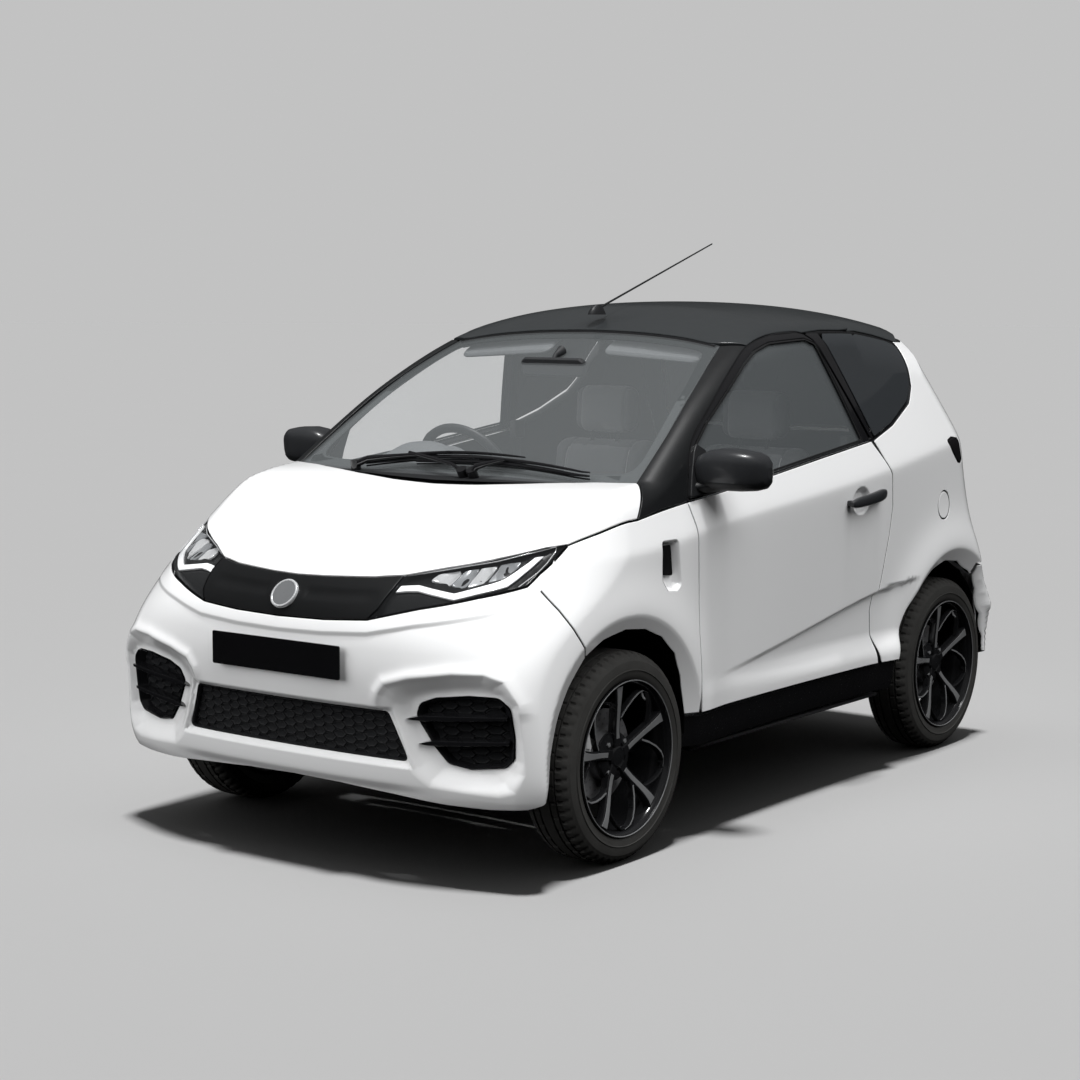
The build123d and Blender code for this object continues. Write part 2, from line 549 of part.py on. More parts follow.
# ---------------------------------------------------------------- wheels
def make_tyre(x, y):
    with BuildPart() as tyre:
        with BuildSketch(Plane(origin=(x, y, TYRE_R), x_dir=(1, 0, 0), z_dir=(0, -1, 0))):
            with BuildLine():
                w = TYRE_W / 2
                Polyline((-w + 12, RIM_R - 4), (-w, 236), (-w + 6, 262), (-w + 18, TYRE_R - 3), (-w + 30, TYRE_R),
                         (w - 30, TYRE_R), (w - 18, TYRE_R - 3), (w - 6, 262), (w, 236), (w - 12, RIM_R - 4), close=True)
            make_face()
        revolve(axis=Axis((x, y, TYRE_R), (1, 0, 0)))
    return tyre.part


def make_rim(x, y, s):
    """Rim, hub, spokes and disc; s is the outward side."""
    w = TYRE_W / 2
    with BuildPart() as rim:
        with BuildSketch(Plane(origin=(x, y, TYRE_R), x_dir=(1, 0, 0), z_dir=(0, -1, 0))):
            with BuildLine():
                Polyline((s * (w - 12), RIM_R - 4), (s * (w - 12), RIM_R - 16), (s * (w - 40), 188), (-s * (w - 30), 188),
                         (-s * (w - 12), RIM_R - 16), (-s * (w - 12), RIM_R - 4), close=True)
            make_face()
        revolve(axis=Axis((x, y, TYRE_R), (1, 0, 0)))
        with BuildSketch(Plane(origin=(x + s * 16, y, TYRE_R), x_dir=(0, s, 0), z_dir=(s, 0, 0))):
            Circle(62)
            with PolarLocations(120, 5):
                Rectangle(150, 34)
        extrude(amount=26)
        with BuildSketch(Plane(origin=(x - s * 6, y, TYRE_R), x_dir=(0, s, 0), z_dir=(s, 0, 0))):
            Circle(60)
        extrude(amount=24)
        with BuildSketch(Plane(origin=(x - s * 16, y, TYRE_R), x_dir=(0, s, 0), z_dir=(s, 0, 0))):
            Circle(122)
        extrude(amount=10)
    return rim.part


WHEELS = [  # name, x, y, outward side
    ("front_left", FRONT_WHEEL_X, FRONT_AXLE_Y, 1),
    ("front_right", -FRONT_WHEEL_X, FRONT_AXLE_Y, -1),
    ("rear_left", REAR_WHEEL_X, REAR_AXLE_Y, 1),
    ("rear_right", -REAR_WHEEL_X, REAR_AXLE_Y, -1),
]
wheel_parts = {}
for name, x, y, s in WHEELS:
    wheel_parts["tyre_" + name] = make_tyre(x, y)
    wheel_parts["rim_" + name] = make_rim(x, y, s)

caliper = ((block(594, 634, FRONT_AXLE_Y - 136, FRONT_AXLE_Y - 76, TYRE_R - 30, TYRE_R + 62)
            - block(604, 626, FRONT_AXLE_Y - 129, FRONT_AXLE_Y - 70, TYRE_R - 40, TYRE_R + 70))
           + block(540, 598, FRONT_AXLE_Y - 96, FRONT_AXLE_Y - 22, TYRE_R - 14, TYRE_R + 26))
with BuildPart() as knuckle_front_left:
    with BuildSketch(Plane.XY.offset(226)):
        with Locations((KINGPIN_X - 26, FRONT_AXLE_Y)):
            Rectangle(44, 60)
    extrude(amount=110)
    with BuildSketch(Plane.YZ.offset(KINGPIN_X - 8)):
        with Locations((FRONT_AXLE_Y, TYRE_R)):
            Circle(36)
    extrude(amount=50 - 8)
    with BuildSketch(Plane.XY.offset(330)):          # strut
        with Locations((KINGPIN_X - 60, FRONT_AXLE_Y)):
            Rectangle(50, 50)
    extrude(amount=20)
    with BuildSketch(Plane.XY.offset(340)):
        with Locations((KINGPIN_X - 60, FRONT_AXLE_Y)):
            Circle(24)
    extrude(amount=230)
    add(caliper)
with BuildPart() as knuckle_front_right:
    add(mirror(knuckle_front_left.part, about=Plane.YZ, mode=Mode.PRIVATE))

wheel_plane = Plane(origin=STEER_WHEEL, x_dir=(1, 0, 0), z_dir=(0, 165, 77))
with BuildPart() as steering_wheel:
    with BuildSketch(Plane(origin=wheel_plane.origin, x_dir=wheel_plane.x_dir, z_dir=wheel_plane.y_dir)):
        with Locations((STEER_WHEEL_R, 0)):
            Circle(14)
    revolve(axis=Axis(wheel_plane.origin, wheel_plane.z_dir))
    with BuildSketch(wheel_plane.offset(-22)):
        Circle(52)
    extrude(amount=34)
    with BuildSketch(wheel_plane.offset(-8)):
        with PolarLocations(110, 3, start_angle=-90):
            Rectangle(128, 34)
    extrude(amount=16)

NAMES = {"bonnet": bonnet, "headlamps": headlamps, "front_panel": front_panel, "front_bumper": front_bumper,
         "lower_grille": lower_grille, "fenders": fenders,
         "door_left": door_left, "door_left_glass": door_left_glass, "door_right": door_right, "door_right_glass": door_right_glass,
         "mirror_left": mirror_left, "mirror_right": mirror_right, "door_handle_left": door_handle_left,
         "door_handle_right": door_handle_right, "tailgate": tailgate, "rear_window": rear_window, "rear_bumper": rear_bumper,
         "tail_lamps": tail_lamps, "quarter_panel_left": quarter_panel_left, "quarter_panel_right": quarter_panel_right,
         "quarter_glass": quarter_glass, "windscreen": windscreen, "roof_panel": roof_panel, "roof_frame": roof_frame,
         "antenna": antenna, "scuttle": scuttle, "wipers": wipers, "floor_pan": floor_pan, "sills": sills,
         "wheelhouse_liners": wheelhouse_liners, "engine_block": engine_block, "front_subframe": front_subframe,
         "rear_axle": rear_axle, "dashboard": dashboard, "seats": seats,
         "number_plate_front": number_plate_front, "knuckle_front_left": knuckle_front_left,
         "knuckle_front_right": knuckle_front_right, "steering_wheel": steering_wheel}
solids = {name: piece.part for name, piece in NAMES.items()}
solids.update(wheel_parts)
for name, solid in solids.items():
    solid.label = name
    export_step(solid, "parts/" + name + ".step")
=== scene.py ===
import math
import bpy
import bmesh
import numpy as np
from mathutils import Vector, Matrix
from mathutils.geometry import delaunay_2d_cdt


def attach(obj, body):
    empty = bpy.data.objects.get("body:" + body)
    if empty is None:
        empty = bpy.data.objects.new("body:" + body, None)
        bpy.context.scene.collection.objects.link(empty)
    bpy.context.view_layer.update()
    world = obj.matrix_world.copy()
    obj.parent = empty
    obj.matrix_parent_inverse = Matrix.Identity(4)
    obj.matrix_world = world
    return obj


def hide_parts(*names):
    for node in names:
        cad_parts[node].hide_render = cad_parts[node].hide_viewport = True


# Looks of the two-seat microcar.  Metres, +X to the car's left, -Y to the front, +Z up.
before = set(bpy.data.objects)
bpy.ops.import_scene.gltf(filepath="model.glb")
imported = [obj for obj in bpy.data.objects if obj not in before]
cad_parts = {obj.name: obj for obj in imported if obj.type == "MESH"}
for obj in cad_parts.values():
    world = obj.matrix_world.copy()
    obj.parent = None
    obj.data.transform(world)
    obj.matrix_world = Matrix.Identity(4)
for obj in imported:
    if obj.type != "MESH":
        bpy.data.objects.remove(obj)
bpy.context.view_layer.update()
rng = np.random.default_rng(7)


# ------------------------------------------------------------------ small maths
def ramp(t, e):
    return 0.5 * (t + np.sqrt(t * t + e * e))

def smax(a, b, r):
    u = np.maximum(a + r, 0.0)
    v = np.maximum(b + r, 0.0)
    return np.minimum(-r, np.maximum(a, b)) + np.sqrt(u * u + v * v)

def smin(a, b, r):
    return -smax(-a, -b, r)

def sstep(t):
    t = np.clip(t, 0.0, 1.0)
    return t * t * (3 - 2 * t)

def spline(pairs):
    k = np.array([p[0] for p in pairs], float)
    v = np.array([p[1] for p in pairs], float)
    n = len(k)
    h = np.diff(k)
    A = np.zeros((n, n)); b = np.zeros(n)
    A[0, 0] = A[-1, -1] = 1
    for i in range(1, n - 1):
        A[i, i - 1] = h[i - 1]; A[i, i] = 2 * (h[i - 1] + h[i]); A[i, i + 1] = h[i]
        b[i] = 6 * ((v[i + 1] - v[i]) / h[i] - (v[i] - v[i - 1]) / h[i - 1])
    m = np.linalg.solve(A, b)
    s0 = (v[1] - v[0]) / h[0] - h[0] * m[1] / 6
    s1 = (v[-1] - v[-2]) / h[-1] + h[-1] * m[-2] / 6

    def ev(t):
        t = np.asarray(t, float)
        c = np.clip(t, k[0], k[-1])
        i = np.clip(np.searchsorted(k, c) - 1, 0, n - 2)
        a = (k[i + 1] - c) / h[i]; d = (c - k[i]) / h[i]
        out = a * v[i] + d * v[i + 1] + ((a ** 3 - a) * m[i] + (d ** 3 - d) * m[i + 1]) * h[i] ** 2 / 6
        return out + np.where(t < k[0], (t - k[0]) * s0, 0) + np.where(t > k[-1], (t - k[-1]) * s1, 0)
    return ev

def poly_sd(px, pz, poly):
    """Signed distance to a closed polygon, negative inside."""
    P = np.asarray(poly, float)
    Q = np.roll(P, -1, axis=0)
    d2 = np.full(np.shape(px), 1e9)
    inside = np.zeros(np.shape(px), bool)
    for (ax, az), (bx, bz) in zip(P, Q):
        ex, ez = bx - ax, bz - az
        wx, wz = px - ax, pz - az
        t = np.clip((wx * ex + wz * ez) / (ex * ex + ez * ez), 0, 1)
        d2 = np.minimum(d2, (wx - t * ex) ** 2 + (wz - t * ez) ** 2)
        c = ((az > pz) != (bz > pz)) & (px < (bx - ax) * (pz - az) / (bz - az + 1e-12) + ax)
        inside ^= c
    d = np.sqrt(d2)
    return np.where(inside, -d, d)

def round_poly(pts, radii, n=6):
    """Polygon with rounded corners; radii is one number or one per corner."""
    pts = [np.array(p, float) for p in pts]
    N = len(pts)
    if np.isscalar(radii):
        radii = [radii] * N
    out = []
    for i in range(N):
        a, b, c = pts[i - 1], pts[i], pts[(i + 1) % N]
        u = a - b; v = c - b
        lu, lv = np.linalg.norm(u), np.linalg.norm(v)
        u /= lu; v /= lv
        r = radii[i]
        cosang = np.clip(u @ v, -1, 1)
        half = np.arccos(cosang) / 2
        if r <= 0 or half > 1.55:
            out.append(b); continue
        d = min(r / np.tan(half), 0.48 * lu, 0.48 * lv)
        for k in range(n + 1):
            t = k / n
            p = (1 - t) ** 2 * (b + u * d) + 2 * t * (1 - t) * b + t ** 2 * (b + v * d)
            out.append(p)
    return np.array(out)

def dense(poly, step, closed=True):
    P = np.asarray(poly, float)
    Q = np.roll(P, -1, axis=0) if closed else P[1:]
    out = []
    for a, b in zip(P, Q):
        n = max(1, int(np.ceil(np.linalg.norm(b - a) / step)))
        for k in range(n):
            out.append(a + (b - a) * k / n)
    if not closed:
        out.append(P[-1])
    return np.array(out)

# ------------------------------------------------------------------ the body's surfaces
XC = spline([(-1.35, .686), (-1.15, .694), (-.9, .708), (-.6, .715), (-.3, .722), (.1, .728), (.5, .730), (.8, .724), (1.1, .708), (1.35, .690)])
ZC = spline([(-1.35, .79), (-1.1, .80), (-.9, .812), (-.7, .822), (-.44, .854), (.05, .902), (.557, .952), (.94, 1.00), (1.35, 1.04)])
BELOW = spline([(-1.3, -.055), (-1.0, -.03), (-.6, .02), (-.3, .045), (.5, .05), (.9, .015), (1.3, -.02)])
LEAN = spline([(-1.2, .38), (-.6, .34), (0, .33), (.6, .33), (1.3, .34)])
ARCH_F = (-.825, .290, .325)
ARCH_R = (1.045, .290, .330)

def flare(y, z, arch, swell, band, cut):
    cy, cz, r = arch
    rho = np.sqrt((y - cy) ** 2 + np.maximum(z - cz, 0) ** 2 + .25 * np.minimum(z - cz, 0) ** 2) - r
    out = swell * np.exp(-(np.maximum(rho - band, 0) / .09) ** 2)
    return out - cut * ramp((band - rho) / band, .06)

L1 = spline([(-.42, .440), (-.1, .482), (.2, .530), (.518, .581), (.72, .602)])
def X_side(y, z):
    zc = ZC(y)
    up = ramp(z - zc, .010)
    x = XC(y) - LEAN(y) * up - .10 * ramp(z - zc - .12, .05) ** 2 - BELOW(y) * ramp(zc - z, .03)
    x = x - .30 * ramp(.262 - z, .02)
    # lower door relief
    w = sstep((y + .43) / .75) * sstep((.80 - y) / .10)
    depth = .020 * w
    z1 = L1(y); z2 = .442
    span = np.maximum(z1 - z2, .002)
    t = (z1 - z) / np.maximum(span, .03)
    groove = sstep((z1 - z) / .020) * (1 - sstep((z2 + .012 - z) / .085))
    x = x - depth * groove
    x = x + .004 * sstep((.45 - z) / .06) * sstep((y + .5) / .1) * sstep((.75 - y) / .1)
    x = x + flare(y, z, ARCH_F, .013, .046, .024) + flare(y, z, ARCH_R, .015, .050, .026)
    return x

YF = spline([(.15, -1.262), (.20, -1.312), (.26, -1.340), (.34, -1.352), (.44, -1.366), (.56, -1.386), (.63, -1.384), (.70, -1.362), (.764, -1.318), (.86, -1.215)])
CF = spline([(.2, .22), (.5, .24), (.6, .45), (.7, .80), (.8, 1.15), (.9, 1.3)])
def Y_front(ax, z):
    return YF(z) + .10 * ax ** 2 + np.clip(CF(z), .2, 1.4) * ax ** 4

ZT = spline([(-1.46, .655), (-1.32, .764), (-1.16, .834), (-.95, .902), (-.74, .962), (-.60, .998)])
KT = spline([(-1.35, -.045), (-1.2, -.030), (-1.03, -.008), (-.9, .018), (-.8, .024), (-.65, .008)])
def Z_top(ax, y):
    return ZT(y) + KT(y) * sstep(ax / .62) - .02 * ax ** 2

def screen_y(ax, z):
    t = (z - .985) / .375
    return -.632 + 1.581 * (z - .985) - (.052 - .022 * t) * (1 - (ax / .62) ** 2) - .030 * t * (1 - t)

ZR = spline([(-.30, 1.345), (-.1, 1.398), (.1, 1.436), (.3, 1.456), (.5, 1.462), (.7, 1.456), (.9, 1.436), (1.15, 1.392)])
def Z_roof(ax, y):
    return ZR(y) - .14 * ax ** 2 - .30 * ax ** 4

YR = spline([(.15, 1.300), (.22, 1.352), (.30, 1.378), (.45, 1.392), (.58, 1.392), (.64, 1.376), (.72, 1.350), (.80, 1.328), (.93, 1.293), (1.02, 1.262), (1.12, 1.192), (1.20, 1.130), (1.28, 1.070), (1.36, 1.020), (1.46, .97)])
def Y_rear(ax, z):
    w = sstep((ax - .40) / .17) * sstep((.600 - z) / .21)   # the low corners stay full behind the wheels
    y = YR(z) - (.07 * ax ** 2 + .22 * ax ** 4) * (1 - w) + .020 * w
    return np.minimum(np.minimum(y, 1.3880 + .03 * (1 - w)), 1.3915)

R1 = spline([(.15, .06), (.5, .065), (.62, .10), (.74, .13), (.84, .09), (.92, .055), (1.0, .045), (1.4, .05)])
RR = spline([(.15, .05), (.55, .05), (.64, .06), (.75, .09), (1.0, .11), (1.35, .09)])

def F(x, y, z):
    ax = np.abs(x)
    side = (ax - X_side(y, z)) * .97
    front = (Y_front(ax, z) - y) * .98
    top = (z - Z_top(ax, y)) * .95
    screen = np.maximum((screen_y(ax, z) - y) * .534, .86 - z)
    nose = smax(front, top, .035)
    fr = smin(nose, screen, .003)
    roof = (z - Z_roof(ax, y)) * .98
    rear = (y - Y_rear(ax, z)) * .93
    up = smax(fr, roof, .09)
    up = smax(up, rear, .045)
    r = np.where(y > .6, RR(z), R1(z))
    return smax(up, side, r)

def grad(P, f=F, e=.0008):
    x, y, z = P[..., 0], P[..., 1], P[..., 2]
    g = np.stack([f(x + e, y, z) - f(x - e, y, z), f(x, y + e, z) - f(x, y - e, z), f(x, y, z + e) - f(x, y, z - e)], -1)
    return g / np.maximum(np.linalg.norm(g, axis=-1, keepdims=True), 1e-12)

def hit(O, D, t0, t1, f=F, level=0.0, n=28):
    """From outside (t1) inwards, the first place where f falls through level."""
    ts = np.linspace(t1, t0, n)
    t_hi = np.full(O.shape[0], t1); t_lo = np.full(O.shape[0], t0)
    done = np.zeros(O.shape[0], bool)
    for k in range(1, n):
        P = O + D * ts[k]
        v = f(P[:, 0], P[:, 1], P[:, 2]) - level
        new = (v <= 0) & ~done
        t_hi[new] = ts[k - 1]; t_lo[new] = ts[k]
        done |= new
    for _ in range(18):
        tm = .5 * (t_hi + t_lo)
        P = O + D * tm[:, None]
        v = f(P[:, 0], P[:, 1], P[:, 2]) - level
        inside = v <= 0
        t_lo = np.where(inside, tm, t_lo); t_hi = np.where(inside, t_hi, tm)
    return O + D * (.5 * (t_hi + t_lo))[:, None]

# ------------------------------------------------------------------ families of rays: rays(a, b) and back(P)
class Side:
    @staticmethod
    def rays(a, b):
        z = np.zeros_like(a)
        return np.stack([z, a, b], -1), np.stack([z + 1, z, z], -1), .25, .90
    @staticmethod
    def back(P):
        return P[:, 1:3].copy()
class Top:
    @staticmethod
    def rays(a, b):
        z = np.zeros_like(a)
        return np.stack([a, b, z], -1), np.stack([z, z, z + 1], -1), .45, 1.6
    @staticmethod
    def back(P):
        return P[:, :2].copy()
class FrontView:
    @staticmethod
    def rays(a, b):
        z = np.zeros_like(a)
        return np.stack([a, z, b], -1), np.stack([z, z - 1, z], -1), .3, 1.5
class ScreenView:
    """x and height on the screen, rays square to it."""
    @staticmethod
    def rays(a, b):
        z = np.zeros_like(a)
        return np.stack([a, -.632 + 1.581 * (b - .985) + z, b], -1), np.stack([z, z - .534, z + .845], -1), -.15, .25
    @staticmethod
    def back(P):
        # foot of the point along the ray direction
        y, z = P[:, 1], P[:, 2]
        # P = (x, y0 - .534 t, b + .845 t), y0 = -.632+1.581(b-.985)
        b = (y + .632 + 1.581 * .985 + .534 / .845 * z) / (1.581 + .534 / .845)
        return np.stack([P[:, 0], b], -1)
class Nose:
    H, Y0, K = .42, -.93, .30
    @classmethod
    def rays(c, a, b):
        s = np.abs(a); sg = np.sign(a)
        phi = np.maximum(s - c.H, 0) / c.K
        ox = np.minimum(s, c.H) * sg
        z = np.zeros_like(a)
        return np.stack([ox, z + c.Y0, b], -1), np.stack([np.sin(phi) * sg, -np.cos(phi), z], -1), .05, .62
    @classmethod
    def back(c, P):
        ax = np.abs(P[:, 0]); sg = np.where(P[:, 0] < 0, -1, 1)
        s = np.where(ax <= c.H, ax, c.H + c.K * np.arctan2(np.maximum(ax - c.H, 0), c.Y0 - P[:, 1]))
        return np.stack([s * sg, P[:, 2]], -1)
class Tail:
    H, Y0, K = .42, .95, .30
    @classmethod
    def rays(c, a, b):
        s = np.abs(a); sg = np.sign(a)
        phi = np.maximum(s - c.H, 0) / c.K
        ox = np.minimum(s, c.H) * sg
        z = np.zeros_like(a)
        return np.stack([ox, z + c.Y0, b], -1), np.stack([np.sin(phi) * sg, np.cos(phi), z], -1), .02, .62
    @classmethod
    def back(c, P):
        ax = np.abs(P[:, 0]); sg = np.where(P[:, 0] < 0, -1, 1)
        s = np.where(ax <= c.H, ax, c.H + c.K * np.arctan2(np.maximum(ax - c.H, 0), P[:, 1] - c.Y0))
        return np.stack([s * sg, P[:, 2]], -1)
class Over:
    """Across the car: up over the middle, round the shoulder, down the side.  a = girth, b = y."""
    def __init__(self, H, Z0, K, tmax):
        self.H, self.Z0, self.K, self.tmax = H, Z0, K, tmax
    def rays(self, a, b):
        s = np.abs(a); sg = np.sign(a)
        Q = self.K * np.pi / 2
        phi = np.clip(s - self.H, 0, Q) / self.K
        ox = np.minimum(s, self.H) * sg
        oz = self.Z0 - np.maximum(s - self.H - Q, 0)
        z = np.zeros_like(a)
        return np.stack([ox, b, oz], -1), np.stack([np.sin(phi) * sg, z, np.cos(phi)], -1), .0, self.tmax
    def back(self, P):
        ax = np.abs(P[:, 0]); sg = np.where(P[:, 0] < 0, -1, 1)
        Q = self.K * np.pi / 2
        dz = P[:, 2] - self.Z0
        s = np.where(ax <= self.H, ax, self.H + self.K * np.arctan2(np.maximum(ax - self.H, 0), np.maximum(dz, 0)))
        s = np.where((ax > self.H) & (dz < 0), self.H + Q - dz, s)
        return np.stack([s * sg, P[:, 1]], -1)
class Flank:
    """Side of the car: square to it between the axles, fanning round the front and rear corners."""
    H, YF, YR, K = .36, -.90, .82, .34
    @classmethod
    def rays(c, a, b):
        yc = np.clip(a, c.YF, c.YR)
        phi = np.clip((a - yc) / c.K, -1.65, 1.65)
        z = np.zeros_like(a)
        return np.stack([z + c.H, yc, b], -1), np.stack([np.cos(phi), np.sin(phi), z], -1), .02, .62
    @classmethod
    def back(c, P):
        yc = np.clip(P[:, 1], c.YF, c.YR)
        phi = np.arctan2(P[:, 1] - yc, P[:, 0] - c.H)
        return np.stack([yc + c.K * phi, P[:, 2]], -1)
class Pillar:
    """Windscreen pillar: fans round a line that leans back with the screen."""
    H, K = .42, .22
    @classmethod
    def y0(c, b):
        return -.632 + 1.581 * (b - .985) + .25
    @classmethod
    def rays(c, a, b):
        phi = np.clip((a - c.H) / c.K, 0, 2.2)
        z = np.zeros_like(a)
        return np.stack([z + c.H, c.y0(b), b], -1), np.stack([np.sin(phi), -np.cos(phi), z], -1), .01, .50
    @classmethod
    def back(c, P):
        phi = np.arctan2(P[:, 0] - c.H, c.y0(P[:, 2]) - P[:, 1])
        return np.stack([c.H + c.K * phi, P[:, 2]], -1)
_d = np.array([.80, -.38, .46]); _d = _d / np.linalg.norm(_d)
_e1 = np.array([0, 1., 0]) - _d[1] * _d; _e1 = _e1 / np.linalg.norm(_e1)
_e2 = np.cross(_d, _e1)
class Sash:
    """Door window, its frame and the windscreen pillar, seen square to the corner."""
    @staticmethod
    def rays(a, b):
        O = a[:, None] * _e1 + b[:, None] * _e2
        return O, np.broadcast_to(_d, O.shape), .55, 1.65
    @staticmethod
    def back(P):
        return np.stack([P @ _e1, P @ _e2], -1)
Hood = Over(.50, .74, .16, .50)
Roof = Over(.36, 1.22, .16, .45)

def on(view, pts, level=0.0):
    pts = np.asarray(pts, float)
    O, D, t0, t1 = view.rays(pts[:, 0], pts[:, 1])
    return hit(O, D, t0, t1, level=level)


# ------------------------------------------------------------------ mesh making
F_BODY = F
scene = bpy.context.scene

def ccw(P):
    P = np.asarray(P, float)
    a = np.sum(P[:, 0] * np.roll(P[:, 1], -1) - np.roll(P[:, 0], -1) * P[:, 1])
    return P if a > 0 else P[::-1].copy()

def inset(P, d):
    A = np.roll(P, 1, 0); B = np.roll(P, -1, 0)
    n1 = np.stack([-(P - A)[:, 1], (P - A)[:, 0]], 1)
    n2 = np.stack([-(B - P)[:, 1], (B - P)[:, 0]], 1)
    n1 /= np.maximum(np.linalg.norm(n1, axis=1, keepdims=True), 1e-9)
    n2 /= np.maximum(np.linalg.norm(n2, axis=1, keepdims=True), 1e-9)
    n = n1 + n2
    n /= np.maximum(np.linalg.norm(n, axis=1, keepdims=True), 1e-9)
    c = np.clip((n * n1).sum(1), .45, 1)
    return P + n * (d / c)[:, None]

def unit(a):
    return a / np.maximum(np.linalg.norm(a, axis=-1, keepdims=True), 1e-12)

class Bits:
    """Vertices, faces, normals and material numbers of one piece, joined from parts."""
    def __init__(self):
        self.V, self.N, self.F, self.M, self.n = [], [], [], [], 0
    def add(self, V, F, m=0, N=None, flip=False):
        V = np.asarray(V, float).reshape(-1, 3)
        self.V.append(V)
        self.N.append(np.full_like(V, np.nan) if N is None else np.asarray(N, float).reshape(-1, 3))
        for f in F:
            g = [int(i) + self.n for i in f]
            self.F.append(g[::-1] if flip else g)
        self.M += [m] * len(F)
        self.n += len(V)
        return self
    def join(self, other):
        for V, N in zip(other.V, other.N):
            self.V.append(V); self.N.append(N)
        self.F += [[i + self.n for i in f] for f in other.F]
        self.M += other.M
        self.n += other.n
        return self
    def mirrored(self):
        b = Bits()
        k = np.array([-1, 1, 1.])
        b.V = [v * k for v in self.V]; b.N = [v * k for v in self.N]
        b.F = [f[::-1] for f in self.F]; b.M = list(self.M); b.n = self.n
        return b
    def moved(self, fn):
        b = Bits()
        b.V = [fn(v) for v in self.V]; b.N = [np.full_like(v, np.nan) for v in self.V]
        b.F = [list(f) for f in self.F]; b.M = list(self.M); b.n = self.n
        return b

def face_normals(V, F):
    V = np.asarray(V)
    N = np.zeros_like(V)
    tri = []
    for f in F:
        for k in range(1, len(f) - 1):
            tri.append((f[0], f[k], f[k + 1]))
    T = np.array(tri)
    c = np.cross(V[T[:, 1]] - V[T[:, 0]], V[T[:, 2]] - V[T[:, 0]])
    for k in range(3):
        np.add.at(N, T[:, k], c)
    return unit(N)

def piece(name, bits, mats, body="body", replaces=(), smooth=True, sharp=None):
    V = np.concatenate(bits.V); N = np.concatenate(bits.N)
    me = bpy.data.meshes.new(name)
    me.from_pydata(V.tolist(), [], bits.F)
    for m in (mats if isinstance(mats, (list, tuple)) else [mats]):
        me.materials.append(m)
    me.polygons.foreach_set("material_index", bits.M)
    me.polygons.foreach_set("use_smooth", [smooth] * len(bits.F))
    me.update()
    if np.isnan(N[:, 0]).all():
        bm = bmesh.new(); bm.from_mesh(me)
        bmesh.ops.recalc_face_normals(bm, faces=bm.faces)
        bm.to_mesh(me); bm.free()
    ob = bpy.data.objects.new(name, me)
    scene.collection.objects.link(ob)
    if sharp is not None and smooth:
        me.set_sharp_from_angle(angle=math.radians(sharp))
    bad = np.isnan(N[:, 0])
    if not bad.all():
        if bad.any():
            N[bad] = face_normals(V, bits.F)[bad]
        me.normals_split_custom_set_from_vertices(N.tolist())
    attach(ob, body)
    if replaces:
        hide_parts(*([replaces] if isinstance(replaces, str) else replaces))
    return ob

def triangulate(loops, inner):
    pts, edges = [], []
    for L in loops:
        b = len(pts); n = len(L)
        pts += [Vector((float(p[0]), float(p[1]))) for p in L]
        edges += [(b + i, b + (i + 1) % n) for i in range(n)]
    pts += [Vector((float(p[0]), float(p[1]))) for p in inner]
    vv, ee, ff, ov, oe, of = delaunay_2d_cdt(pts, edges, [], 0, 1e-7)
    where = {}
    for i, o in enumerate(ov):
        for k in o:
            where[k] = i
    C = np.array([[v[0], v[1]] for v in vv])
    T = np.array([list(f) for f in ff if len(f) == 3])
    mid = C[T].mean(1)
    keep = poly_sd(mid[:, 0], mid[:, 1], loops[0]) < 0
    for L in loops[1:]:
        keep &= poly_sd(mid[:, 0], mid[:, 1], L) > 0
    T = T[keep]
    a = C[T]
    area = (a[:, 1, 0] - a[:, 0, 0]) * (a[:, 2, 1] - a[:, 0, 1]) - (a[:, 2, 0] - a[:, 0, 0]) * (a[:, 1, 1] - a[:, 0, 1])
    T[area < 0] = T[area < 0][:, ::-1]
    T = T[np.abs(area) > 1e-10]
    rings, k = [], 0
    for L in loops:
        rings.append([where[k + i] for i in range(len(L))]); k += len(L)
    return C, T, rings

def lattice(loops, step, clear=.6):
    P = loops[0]
    lo, hi = P.min(0), P.max(0)
    ys = np.arange(lo[1] + step * .3, hi[1], step * .866)
    out = []
    for j, y in enumerate(ys):
        xs = np.arange(lo[0] + (step * .5 if j % 2 else 0), hi[0], step)
        out.append(np.stack([xs, np.full_like(xs, y)], 1))
    Q = np.concatenate(out)
    ok = poly_sd(Q[:, 0], Q[:, 1], P) < -step * clear
    for L in loops[1:]:
        ok &= poly_sd(Q[:, 0], Q[:, 1], L) > step * clear
    return Q[ok]

